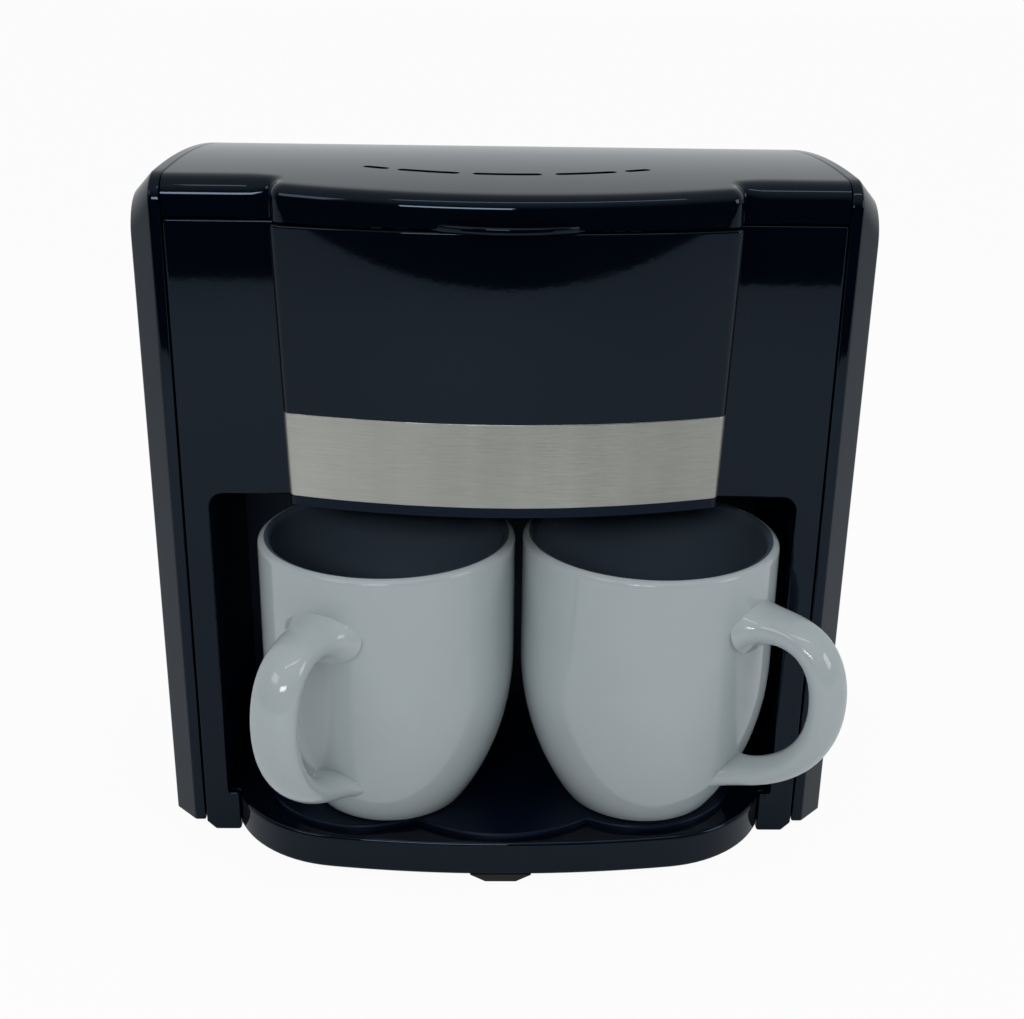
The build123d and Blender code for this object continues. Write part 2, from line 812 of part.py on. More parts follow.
mesh_low = cone_foot + mesh_shares[0] * cone_height
mesh_high = cone_foot + mesh_shares[1] * cone_height
mesh_low_radius = filter_bottom_radius - filter_wall + filter_slope * (mesh_low - filter_bottom) - fit_gap
mesh_high_radius = filter_bottom_radius - filter_wall + filter_slope * (mesh_high - filter_bottom) - fit_gap
with BuildPart() as filter_mesh:
    with BuildSketch(Plane.XZ.offset(-y_filter)):
        with BuildLine():
            Polyline(
                (mesh_low_radius - mesh_thickness, mesh_low),
                (mesh_low_radius, mesh_low),
                (mesh_high_radius, mesh_high),
                (mesh_high_radius - mesh_thickness, mesh_high),
                close=True,
            )
        make_face()
    revolve(axis=Axis((0, y_filter, 0), (0, 0, 1)))
write(filter_mesh.part, "filter_mesh")

with BuildPart() as filter_handle:
    with BuildSketch(Plane.XY.offset(rim_top)):
        with Locations((-(filter_radius + filter_rim - filter_wall) / 2, y_filter)):
            RectangleRounded(handle_tab[0], handle_tab[1], handle_tab[0] / 3)
    extrude(amount=handle_tab[2])
write(filter_handle.part, "filter_handle")

# Water tank: an open box behind the niche with an outlet spigot
with BuildPart() as water_tank:
    with BuildSketch(Plane.XY.offset(tank_bottom)):
        with Locations(((tank_left + tank_right) / 2, y_front + (tank_front + tank_rear) / 2)):
            RectangleRounded(tank_right - tank_left, tank_rear - tank_front, 2 * tank_wall)
    extrude(amount=deck_bottom - tank_bottom)
    with BuildSketch(Plane.XY.offset(tank_bottom + tank_wall)):
        with Locations(((tank_left + tank_right) / 2, y_front + (tank_front + tank_rear) / 2)):
            RectangleRounded(
                tank_right - tank_left - 2 * tank_wall, tank_rear - tank_front - 2 * tank_wall, tank_wall
            )
    extrude(amount=deck_bottom - tank_bottom, mode=Mode.SUBTRACT)
    with BuildSketch(Plane.XY.offset(tank_bottom)):
        with Locations((inlet_x, y_tube)):
            Circle(spigot_radius)
    extrude(amount=-spigot_length)
    with BuildSketch(Plane.XY.offset(tank_bottom + tank_wall)):
        with Locations((inlet_x, y_tube)):
            Circle(spigot_bore)
    extrude(amount=-spigot_length - tank_wall, mode=Mode.SUBTRACT)
write(water_tank.part, "water_tank")

# Check valve: a barrel under the tank's spigot with a loose ball inside
spigot_end = tank_bottom - spigot_length
with BuildPart() as check_valve:
    with BuildSketch(Plane.XZ.offset(-y_tube)):
        with BuildLine():
            Polyline(
                (inlet_x + ball_seat, valve_bottom - spigot_length),
                (inlet_x + spigot_radius, valve_bottom - spigot_length),
                (inlet_x + spigot_radius, valve_bottom),
                (inlet_x + valve_radius, valve_bottom),
                (inlet_x + valve_radius, valve_top),
                (inlet_x + spigot_radius + fit_gap, valve_top),
                (inlet_x + spigot_radius + fit_gap, spigot_end),
                (inlet_x + ball_seat, spigot_end),
                (inlet_x + ball_seat, ball_roof),
                (inlet_x + ball_room, ball_roof),
                (inlet_x + ball_room, ball_floor),
                (inlet_x + ball_seat, ball_floor),
                close=True,
            )
        make_face()
    revolve(axis=Axis((inlet_x, y_tube, 0), (0, 0, 1)))
write(check_valve.part, "check_valve")

ball_z = ball_floor + sqrt(ball_radius**2 - ball_seat**2) + fit_gap
with BuildPart() as check_ball:
    with Locations((inlet_x, y_tube, ball_z)):
        Sphere(ball_radius)
write(check_ball.part, "check_ball")

# Hoses from the valve to the heater and from the heater up to the nozzle
hose_start_x = heater_half + hose_end
inlet_points = [
    (inlet_x, y_tube, valve_bottom - touch_gap),
    (inlet_x, y_tube, heater_z),
    (-hose_start_x, y_tube, heater_z),
]
inlet_hose = tube(inlet_points, hose_bend, hose_radius, spigot_radius + fit_gap)
write(inlet_hose, "inlet_hose")

hose_top = deck_bottom - hose_end
riser_points = [
    (hose_start_x, y_tube, heater_z),
    (riser_x, y_tube, heater_z),
    (riser_x, y_tube, hose_top),
]
riser_hose = tube(riser_points, hose_bend, hose_radius, spigot_radius + fit_gap)
write(riser_hose, "riser_hose")

# Riser nozzle: a flanged tube through the deck
channel_bottom = liner_bottom - channel_height
nozzle_tip = channel_bottom - 2 * touch_gap
with BuildPart() as riser_nozzle:
    with BuildSketch(Plane.XY.offset(deck_bottom - spigot_length - hose_end)):
        with Locations(nozzle_place):
            Circle(spigot_radius)
    extrude(amount=nozzle_tip - deck_bottom + spigot_length + hose_end)
    with BuildSketch(Plane.XY.offset(deck_top)):
        with Locations(nozzle_place):
            Circle(valve_radius)
    extrude(amount=funnel_flange_height)
    with BuildSketch(Plane.XY.offset(nozzle_tip)):
        with Locations(nozzle_place):
            Circle(spigot_bore)
    extrude(amount=-2 * (nozzle_tip - deck_bottom + spigot_length), mode=Mode.SUBTRACT)
write(riser_nozzle.part, "riser_nozzle")

# Hose clips: one spring ring on each hose end
clip_stub_x = hose_start_x + clip_width / 2
clip_planes = [
    Plane(origin=(inlet_x, y_tube, valve_bottom - hose_end - touch_gap), z_dir=(0, 0, -1)),
    Plane(origin=(-clip_stub_x, y_tube, heater_z), z_dir=(-1, 0, 0)),
    Plane(origin=(clip_stub_x, y_tube, heater_z), z_dir=(1, 0, 0)),
    Plane(origin=(riser_x, y_tube, hose_top - touch_gap), z_dir=(0, 0, -1)),
]
with BuildPart() as hose_clips:
    for clip_plane in clip_planes:
        with BuildSketch(clip_plane):
            Circle(hose_radius + fit_gap + clip_sheet)
            Circle(hose_radius + fit_gap, mode=Mode.SUBTRACT)
        extrude(amount=clip_width)
write(hose_clips.part, "hose_clips")

# Heater block: a cast bar with the water tube below and the element above
element_z = heater_z + element_rise
block_z = (heater_z + element_z) / 2
with BuildPart() as heater_block:
    with BuildSketch(Plane.YZ.offset(-heater_half)):
        with Locations((y_tube, block_z)):
            RectangleRounded(heater_depth, heater_height, heater_corner)
    extrude(amount=2 * heater_half)
    with BuildSketch(Plane.YZ.offset(-heater_half - stub_length)):
        with Locations((y_tube, heater_z)):
            Circle(spigot_radius)
    extrude(amount=2 * (heater_half + stub_length))
    with BuildSketch(Plane.YZ.offset(-heater_half - stub_length)):
        with Locations((y_tube, heater_z)):
            Circle(spigot_bore)
        with Locations((y_tube, element_z)):
            Circle(element_radius + fit_gap)
    extrude(amount=2 * (heater_half + stub_length), mode=Mode.SUBTRACT)
write(heater_block.part, "heater_block")

element_half = heater_half + element_reach
with BuildPart() as heating_element:
    with BuildSketch(Plane.YZ.offset(-element_half)):
        with Locations((y_tube, element_z)):
            Circle(element_radius)
    extrude(amount=2 * element_half)
    with BuildSketch(Plane.YZ.offset(-element_half - element_reach)):
        with Locations((y_tube, element_z)):
            Circle(pin_wire)
    extrude(amount=2 * (element_half + element_reach))
write(heating_element.part, "heating_element")

# Heater bracket: a folded sheet with an ear round each stub
ear_x = heater_half + touch_gap
with BuildPart() as heater_bracket:
    with BuildSketch(Plane.XY.offset(base_top)):
        with Locations((0, y_tube)):
            Rectangle(2 * (ear_x + bracket_sheet), bracket_depth)
        with Locations(*bracket_screw_points):
            Circle(screw_radius + fit_gap, mode=Mode.SUBTRACT)
    extrude(amount=bracket_sheet)
    for side in (1, -1):
        with BuildSketch(Plane.YZ.offset(side * ear_x)):
            with Locations((y_tube, base_top)):
                Rectangle(
                    bracket_depth, heater_z + bracket_rise - base_top, align=(Align.CENTER, Align.MIN)
                )
            with Locations((y_tube, heater_z)):
                Circle(spigot_radius + fit_gap, mode=Mode.SUBTRACT)
        extrude(amount=side * bracket_sheet)
write(heater_bracket.part, "heater_bracket")

bracket_screws = screw([(x, y, base_top + bracket_sheet) for x, y in bracket_screw_points], (0, 0, 1))
write(bracket_screws, "bracket_screws")

# Thermostat and thermal fuse on the block's rear face
y_flat = y_tube + heater_depth / 2
with BuildPart() as thermostat:
    with BuildSketch(upright(y_flat)):
        with Locations((thermostat_x, block_z)):
            Circle(thermostat_radius)
    extrude(amount=-thermostat_height)
write(thermostat.part, "thermostat")

y_fuse = y_flat + fuse_radius + fit_gap
with BuildPart() as thermal_fuse:
    with BuildSketch(Plane.YZ.offset(fuse_left)):
        with Locations((y_fuse, block_z)):
            Circle(fuse_radius)
    extrude(amount=fuse_right - fuse_left)
write(thermal_fuse.part, "thermal_fuse")

# Terminal block on the base's skin
terminal_y = y_rear - terminal_rear_gap
terminal_top = base_top + terminal_size[2]
with BuildPart() as terminal_block:
    with BuildSketch(Plane.XY.offset(base_top)):
        with Locations((terminal_x, terminal_y)):
            Rectangle(terminal_size[0], terminal_size[1])
    extrude(amount=terminal_size[2])
write(terminal_block.part, "terminal_block")

# Leads between the terminal block, switch, element, thermostat and fuse
switch_back_x = recess_x - switch_depth
lead_gap = 2 * lead_bend
thermostat_y = y_flat + thermostat_height
switch_lead_y = terminal_y + 4 * lead_radius
pin_x = element_half + element_reach - lead_radius
pin_y = y_tube + pin_wire + lead_radius / 2
fuse_lead_y = terminal_y - 2 * lead_radius
back_lane_y = thermostat_y + 2 * lead_gap
switch_lead_x = switch_back_x - lead_side_run
lead_routes = {
    "switch_lead": [
        (terminal_x + lead_bend, switch_lead_y, terminal_top),
        (terminal_x + lead_bend, switch_lead_y, switch_z),
        (switch_lead_x, switch_lead_y, switch_z),
        (switch_lead_x, switch_y, switch_z),
        (switch_back_x, switch_y, switch_z),
    ],
    "element_lead": [
        (terminal_x - lead_bend, terminal_y, terminal_top),
        (terminal_x - lead_bend, terminal_y, element_z),
        (pin_x, terminal_y, element_z),
        (pin_x, pin_y, element_z),
    ],
    "thermostat_lead": [
        (-pin_x, pin_y, element_z),
        (-pin_x, back_lane_y, element_z),
        (thermostat_x - lead_bend, back_lane_y, element_z),
        (thermostat_x - lead_bend, back_lane_y, block_z),
        (thermostat_x - lead_bend, thermostat_y, block_z),
    ],
    "fuse_lead": [
        (thermostat_x + lead_bend, thermostat_y, block_z),
        (thermostat_x + lead_bend, back_lane_y, block_z),
        (fuse_left - lead_side_run, back_lane_y, block_z),
        (fuse_left - lead_side_run, y_fuse, block_z),
        (fuse_left, y_fuse, block_z),
    ],
    "return_lead": [
        (fuse_right, y_fuse, block_z),
        (fuse_right + lead_end_run, y_fuse, block_z),
        (fuse_right + lead_end_run, fuse_lead_y + lead_bend / 2, block_z),
        (fuse_right + lead_end_run, fuse_lead_y + lead_bend / 2, terminal_top),
    ],
}
for lead_name, lead_points in lead_routes.items():
    write(tube(lead_points, lead_bend, lead_radius), lead_name)

# Lid: a crowned shell with a bulge over the head, a hinge barrel, a finger tab and steam slots
lid_half = half_in - seam
lid_cut_rear = hinge_y - hinge_radius - wall


def lid_outline(inset, rear):
    """Plan of the lid with its bulge, drawn in the open sketch."""
    head_outline(lid_half_bulge, inset, 2 * wall)
    with Locations((0, y_front + inset)):
        Rectangle(2 * (lid_half - inset), rear - y_front - inset, align=(Align.CENTER, Align.MIN))


def under_crown(drop):
    """Side view of the room under the crowned top, drawn in the open sketch."""
    front = y_front - 2 * head_reach
    rear = y_rear + head_reach
    crown = y_front + crown_setback
    with BuildLine() as outline:
        ThreePointArc(
            (front, crown_z(front) - drop), (crown, body_height - drop), (rear, crown_z(rear) - drop)
        )
        Polyline((rear, crown_z(rear) - drop), (rear, 0), (front, 0), (front, crown_z(front) - drop))
    make_face(outline.edges())


with BuildPart() as lid_room:
    with BuildSketch(Plane.XY.offset(lid_lip)):
        lid_outline(wall, lid_cut_rear)
    extrude(amount=body_height)
    with BuildSketch(Plane.YZ.offset(-half_out)):
        under_crown(wall)
    extrude(amount=2 * half_out, mode=Mode.INTERSECT)

with BuildPart() as lid:
    with BuildSketch(Plane.XY.offset(lid_lip)):
        lid_outline(0.0, hinge_y)
    extrude(amount=body_height)
    with BuildSketch(Plane.YZ.offset(-half_out)):
        under_crown(0.0)
    extrude(amount=2 * half_out, mode=Mode.INTERSECT)
    top_edges = lid.faces().sort_by(Axis.Z)[-1].edges()
    front_edges = top_edges.filter_by(lambda edge: edge.center().Y < y_front + wall)
    fillet(front_edges, radius=lid_edge_round)
    add(lid_room.part, mode=Mode.SUBTRACT)
    with BuildSketch(Plane.YZ.offset(-lid_half)):
        with Locations((hinge_y, hinge_z)):
            Circle(hinge_radius)
    extrude(amount=2 * lid_half)
    for side in (1, -1):
        with BuildSketch(Plane.YZ.offset(side * lid_half)):
            with Locations((hinge_y, hinge_z)):
                Circle(pin_radius + fit_gap)
        extrude(amount=-side * (pin_reach + touch_gap), mode=Mode.SUBTRACT)
    tab_root = y_front - head_reach + tab_thickness
    with BuildSketch(Plane.XY.offset(lid_lip - tab_thickness + touch_gap)):
        with BuildLine():
            ThreePointArc((-tab_half, tab_root), (0, y_front - head_reach - tab_reach), (tab_half, tab_root))
            Line((tab_half, tab_root), (-tab_half, tab_root))
        make_face()
    extrude(amount=tab_thickness)
    slot_centre = y_front + slot_setback + slot_arc_radius
    for start, end in slot_spans:
        start_turn = degrees(asin(start / slot_arc_radius))
        end_turn = degrees(asin(end / slot_arc_radius))
        slot_arc = CenterArc(
            (0, slot_centre), slot_arc_radius, 270 + start_turn, end_turn - start_turn, mode=Mode.PRIVATE
        )
        with BuildSketch(Plane.XY.offset(lid_lip + wall)):
            SlotArc(slot_arc, slot_width)
        extrude(amount=body_height - lid_lip, mode=Mode.SUBTRACT)
write(lid.part, "lid")

# Hinge pins: held in the side panels, running in the lid's barrel
with BuildPart() as hinge_pins:
    for side in (1, -1):
        with BuildSketch(Plane.YZ.offset(side * (lid_half - pin_reach))):
            with Locations((hinge_y, hinge_z)):
                Circle(pin_radius)
        extrude(amount=side * (pin_reach + seam + pin_grip - touch_gap))
write(hinge_pins.part, "hinge_pins")

# Lid liner: a plate inside the lid's skirt, open under the steam slots
with BuildPart() as lid_liner:
    with BuildSketch(Plane.XY.offset(liner_bottom)):
        lid_outline(wall + fit_gap, lid_cut_rear - fit_gap)
        with Locations((0, y_front + slot_setback - vent_share * vent_window[1])):
            Rectangle(vent_window[0], vent_window[1], mode=Mode.SUBTRACT)
    extrude(amount=liner_thickness)
write(lid_liner.part, "lid_liner")

# Water channel under the liner, from the nozzle to over the filter, and its spray head
run_x = nozzle_place[0]
run_y = nozzle_place[1] - y_filter
run_turn = degrees(atan2(run_y, run_x))
run_length = hypot(run_x, run_y)
with BuildPart() as water_channel:
    with BuildSketch(Plane.XY.offset(channel_bottom)):
        with Locations(Location((run_x / 2, y_filter + run_y / 2), run_turn)):
            SlotCenterToCenter(run_length, channel_width)
    extrude(amount=channel_height)
    with BuildSketch(Plane.XY.offset(channel_bottom + channel_floor)):
        with Locations(Location((run_x / 2, y_filter + run_y / 2), run_turn)):
            SlotCenterToCenter(run_length, channel_width - 2 * channel_wall)
    extrude(amount=channel_height, mode=Mode.SUBTRACT)
    with BuildSketch(Plane.XY.offset(channel_bottom)):
        with Locations((0, y_filter), nozzle_place):
            Circle(spigot_bore)
    extrude(amount=channel_floor, mode=Mode.SUBTRACT)
write(water_channel.part, "water_channel")

with BuildPart() as spray_head:
    with BuildSketch(Plane.XY.offset(channel_bottom - spray_thickness)):
        with Locations((0, y_filter)):
            Circle(spray_radius)
            with PolarLocations(spray_ring, spray_holes):
                Circle(spray_hole, mode=Mode.SUBTRACT)
    extrude(amount=spray_thickness)
    with BuildSketch(Plane.XY.offset(channel_bottom)):
        with Locations((0, y_filter)):
            Circle(spray_radius - channel_wall)
            Circle(spray_inlet, mode=Mode.SUBTRACT)
    extrude(amount=-spray_thickness / 2, mode=Mode.SUBTRACT)
write(spray_head.part, "spray_head")

# Switch body: a bezel in the side panel's recess and a box behind it
room_half = (rocker_size[0] / 2 + touch_gap, rocker_size[1] / 2 + rocker_room)
rocker_x = recess_x - rocker_pivot_depth
rocker_pin_half = rocker_size[0] / 2 + rocker_pin_reach
with BuildPart() as switch_body:
    with BuildSketch(Plane.YZ.offset(recess_x)):
        with Locations((switch_y, switch_z)):
            RectangleRounded(switch_bezel[0], switch_bezel[1], switch_corner)
    extrude(amount=switch_bezel[2])
    with BuildSketch(Plane.YZ.offset(recess_x)):
        with Locations((switch_y, switch_z)):
            Rectangle(switch_body_size[0], switch_body_size[1])
    extrude(amount=-switch_depth)
    with BuildSketch(Plane.YZ.offset(recess_x + switch_bezel[2])):
        with Locations((switch_y, switch_z)):
            Rectangle(2 * room_half[0], 2 * room_half[1])
    extrude(amount=-switch_bezel[2] - 2 * rocker_thickness, mode=Mode.SUBTRACT)
    with BuildSketch(upright(switch_y + rocker_pin_half + fit_gap)):
        with Locations((rocker_x, switch_z)):
            Circle(rocker_pin + fit_gap)
    extrude(amount=2 * (rocker_pin_half + fit_gap), mode=Mode.SUBTRACT)
write(switch_body.part, "switch_body")

# Switch rocker: two faces at an angle, tilted to the off side, on stub pins
facet_drop = rocker_size[1] / 2 * sin(radians(rocker_tilt))
with BuildPart() as rocker_blank:
    with BuildSketch(upright(rocker_size[0] / 2)):
        with BuildLine():
            Polyline(
                (-rocker_thickness / 2, -rocker_size[1] / 2),
                (rocker_thickness / 2 + facet_drop, -rocker_size[1] / 2),
                (rocker_thickness / 2, 0),
                (rocker_thickness / 2 + facet_drop, rocker_size[1] / 2),
                (-rocker_thickness / 2, rocker_size[1] / 2),
                close=True,
            )
        make_face()
    extrude(amount=rocker_size[0])
    with BuildSketch(upright(rocker_pin_half)):
        Circle(rocker_pin)
    extrude(amount=2 * rocker_pin_half)

with BuildPart() as switch_rocker:
    add(rocker_blank.part.rotate(Axis.Y, rocker_tilt).moved(Location((rocker_x, switch_y, switch_z))))
write(switch_rocker.part, "switch_rocker")


def mug(centre_x, handle_turn):
    """Mug with a bullet-shaped body and a loop handle turned from the front, plus right."""
    base = Plane(origin=(centre_x, y_front + mug_setback, rest_top + touch_gap))
    facing = base.rotated((0, 0, -90 + handle_turn))
    section = Plane(origin=facing.origin, x_dir=facing.x_dir, z_dir=facing.y_dir * -1)
    rise = mug_shoulder
    bowl = ((mug_radius - mug_foot) ** 2 + rise**2) / (2 * (mug_radius - mug_foot))
    floor_radius = mug_radius - bowl + sqrt((bowl - mug_wall) ** 2 - (rise - mug_floor) ** 2)
    inner = mug_radius - mug_wall
    with BuildPart() as piece:
        with BuildSketch(section):
            with BuildLine():
                Polyline((mug_foot, 0), (0, 0), (0, mug_height), (mug_radius, mug_height), (mug_radius, rise))
                TangentArc((mug_radius, rise), (mug_foot, 0), tangent=(0, -1))
            make_face()
        revolve(axis=Axis(facing.origin, (0, 0, 1)))
        with BuildLine(section) as grip:
            FilletPolyline(
                (inner + mug_wall / 2, grip_top),
                (grip_radius, grip_top),
                (grip_radius, grip_turn),
                (mug_foot + mug_wall, grip_end),
                radius=grip_bend,
            )
        path = grip.wires()[0]
        with BuildSketch(Plane(origin=path @ 0, x_dir=section.z_dir, z_dir=path % 0)):
            Ellipse(grip_width / 2, grip_thickness / 2)
        sweep(path=path)
        with BuildSketch(section):
            with BuildLine():
                Polyline(
                    (floor_radius, mug_floor),
                    (0, mug_floor),
                    (0, mug_height + mug_wall),
                    (inner, mug_height + mug_wall),
                    (inner, rise),
                )
                TangentArc((inner, rise), (floor_radius, mug_floor), tangent=(0, -1))
            make_face()
        revolve(axis=Axis(facing.origin, (0, 0, 1)), mode=Mode.SUBTRACT)
        fillet(piece.faces().sort_by(Axis.Z)[-1].edges(), radius=mug_rim_round)
    return piece.part


write(mug(mug_left_x, -mug_left_angle), "mug_left")
write(mug(mug_right_x, mug_right_angle), "mug_right")
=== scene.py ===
"""Looks of a two-cup drip coffee maker with a pair of mugs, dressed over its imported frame."""

from math import radians

import bmesh
import bpy
import numpy as np
from mathutils import Matrix, Vector


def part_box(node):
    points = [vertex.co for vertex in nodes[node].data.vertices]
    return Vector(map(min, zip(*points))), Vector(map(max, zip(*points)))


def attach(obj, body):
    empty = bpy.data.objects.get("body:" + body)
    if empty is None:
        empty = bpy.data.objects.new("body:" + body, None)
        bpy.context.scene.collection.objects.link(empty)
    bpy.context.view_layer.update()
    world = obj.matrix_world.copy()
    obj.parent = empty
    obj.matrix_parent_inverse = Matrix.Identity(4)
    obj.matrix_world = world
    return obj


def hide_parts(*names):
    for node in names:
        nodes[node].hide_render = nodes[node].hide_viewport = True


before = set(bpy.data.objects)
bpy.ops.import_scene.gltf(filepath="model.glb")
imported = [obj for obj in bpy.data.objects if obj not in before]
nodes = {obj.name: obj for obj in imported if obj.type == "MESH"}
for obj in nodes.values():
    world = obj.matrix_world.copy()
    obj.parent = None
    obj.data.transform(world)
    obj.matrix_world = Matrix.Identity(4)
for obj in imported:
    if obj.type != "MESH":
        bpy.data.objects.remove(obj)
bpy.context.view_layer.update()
scene = bpy.context.scene
scene.view_settings.view_transform = "Standard"

# Camera
# A hand-held view from the front, a little above the lid and turned slightly to the right.
# Places are in millimetres from the fascia's front face, which stands at y_front in the frame.
MM = 0.001
y_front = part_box("front_fascia")[0][1] / MM
focal_pixels = 1360.0
image_width = 1024.0
sensor_width = 36.0
camera_place = np.array([-5.9, y_front - 398.0, 265.6]) * MM
pitch, yaw, roll = np.radians([20.46, 1.22, -0.85])
forward = np.array([np.sin(yaw) * np.cos(pitch), np.cos(yaw) * np.cos(pitch), -np.sin(pitch)])
level_right = np.array([np.cos(yaw), -np.sin(yaw), 0.0])
level_down = np.cross(forward, level_right)
right = np.cos(roll) * level_right + np.sin(roll) * level_down
down = np.cos(roll) * level_down - np.sin(roll) * level_right
camera_data = bpy.data.cameras.new("camera")
camera_data.sensor_width = sensor_width
camera_data.sensor_fit = "HORIZONTAL"
camera_data.lens = sensor_width * focal_pixels / image_width
camera = bpy.data.objects.new("camera", camera_data)
camera_turn = Matrix((right, -down, -forward)).transposed().to_4x4()
camera.matrix_world = Matrix.Translation(Vector(camera_place)) @ camera_turn
scene.collection.objects.link(camera)
scene.camera = camera


# Studio surroundings and table
# A white set: the camera sees white, and mirrors see a pale room behind the machine and a dark one in front.
# The white table ends about a metre in front, so upright gloss faces mirror the dark room above that edge.
def new_material(name):
    """A material with its tree cleared down to an output node, and the calls that add and join nodes."""
    material = bpy.data.materials.new(name)
    material.use_nodes = True
    tree = material.node_tree
    tree.nodes.clear()
    output = tree.nodes.new("ShaderNodeOutputMaterial")
    return material, tree.nodes.new, tree.links.new, output


def add_node(make, kind, values=None, **settings):
    """A shader node with its settings, and with values for inputs that are given by name or number."""
    item = make("ShaderNode" + kind)
    for key, value in settings.items():
        setattr(item, key, value)
    for key, value in (values or {}).items():
        item.inputs[key].default_value = value
    return item


def ramp_node(make, link, source, span, result, **settings):
    """A node that maps a value from one span to another and stops at both ends."""
    ends = {"From Min": span[0], "From Max": span[1], "To Min": result[0], "To Max": result[1]}
    item = add_node(make, "MapRange", ends, **settings)
    link(source, item.inputs["Value"])
    return item


room_dark, room_back, room_ceiling = 0.012, 0.58, 0.55
room_tint, backdrop_white = (0.94, 0.98, 1.0, 1.0), (0.975, 0.975, 0.975, 1.0)
room_depth, ceiling_rise = (-0.45, 0.3), (0.35, 0.8)
world = bpy.data.worlds.new("studio")
world.use_nodes = True
scene.world = world
world.node_tree.nodes.clear()
make, link = world.node_tree.nodes.new, world.node_tree.links.new
world_out = add_node(make, "OutputWorld")
direction = add_node(make, "TexCoord")
axes = add_node(make, "SeparateXYZ")
link(direction.outputs["Generated"], axes.inputs[0])
depth_light = ramp_node(make, link, axes.outputs["Y"], room_depth, (room_dark, room_back))
ceiling_light = ramp_node(make, link, axes.outputs["Z"], ceiling_rise, (0.0, room_ceiling))
brightest = add_node(make, "Math", operation="MAXIMUM")
link(depth_light.outputs[0], brightest.inputs[0])
link(ceiling_light.outputs[0], brightest.inputs[1])
room = add_node(make, "Background", {"Color": room_tint})
link(brightest.outputs[0], room.inputs["Strength"])
white = add_node(make, "Background", {"Color": backdrop_white})
ray = add_node(make, "LightPath")
seen = add_node(make, "MixShader")
link(ray.outputs["Is Camera Ray"], seen.inputs[0])
link(room.outputs[0], seen.inputs[1])
link(white.outputs[0], seen.inputs[2])
link(seen.outputs[0], world_out.inputs["Surface"])

table_lead, table_half, table_back = 0.97, 8.0, 60.0
white_seen, white_mirrored = 0.95, 0.25
table_front = y_front * MM - table_lead
table_mesh = bpy.data.meshes.new("table_top")
table_corners = [
    (-table_half, table_front, 0), (table_half, table_front, 0),
    (table_back, table_back, 0), (-table_back, table_back, 0),
]
table_mesh.from_pydata(table_corners, [], [(0, 1, 2, 3)])
table = bpy.data.objects.new("table_top", table_mesh)
scene.collection.objects.link(table)
table_paint, make, link, output = new_material("table_paint")
matte = add_node(make, "BsdfDiffuse", {"Color": (0.88, 0.89, 0.9, 1.0)})
glow = add_node(make, "Emission", {"Color": (1.0, 1.0, 1.0, 1.0)})
ray = add_node(make, "LightPath")
reflected = add_node(make, "Math", operation="ADD")
link(ray.outputs["Is Glossy Ray"], reflected.inputs[0])
link(ray.outputs["Is Transmission Ray"], reflected.inputs[1])
direct = add_node(make, "Math", {1: white_seen}, operation="MULTIPLY")
link(ray.outputs["Is Camera Ray"], direct.inputs[0])
share = add_node(make, "Math", {1: white_mirrored}, operation="MULTIPLY_ADD")
link(reflected.outputs[0], share.inputs[0])
link(direct.outputs[0], share.inputs[2])
seen = add_node(make, "MixShader")
link(share.outputs[0], seen.inputs[0])
link(matte.outputs[0], seen.inputs[1])
link(glow.outputs[0], seen.inputs[2])
link(seen.outputs[0], output.inputs["Surface"])
table_mesh.materials.append(table_paint)


# Lamps
# Soft panels that face the middle of the machine: one above the camera and to its left, a window at the left,
# a strip overhead and a fill at the right.
lamp_aim = Vector((0.0, 0.0, 0.11))


def soft_lamp(name, place, size, power):
    """A rectangular lamp at a place in metres."""
    data = bpy.data.lights.new(name, "AREA")
    data.shape = "RECTANGLE"
    data.size, data.size_y = size
    data.energy = power
    lamp = bpy.data.objects.new(name, data)
    lamp.location = place
    lamp.rotation_euler = (lamp_aim - Vector(place)).to_track_quat("-Z", "Y").to_euler()
    scene.collection.objects.link(lamp)


soft_lamp("front_panel", place=(-0.14, -0.85, 0.5), size=(0.34, 0.12), power=1.6)
soft_lamp("window", place=(-0.8, -0.7, 0.9), size=(0.5, 0.3), power=1.3)
soft_lamp("ceiling_strip", place=(0.1, -0.5, 1.2), size=(0.9, 0.08), power=0.9)
soft_lamp("right_fill", place=(1.1, -0.45, 0.6), size=(0.4, 0.4), power=1.9)


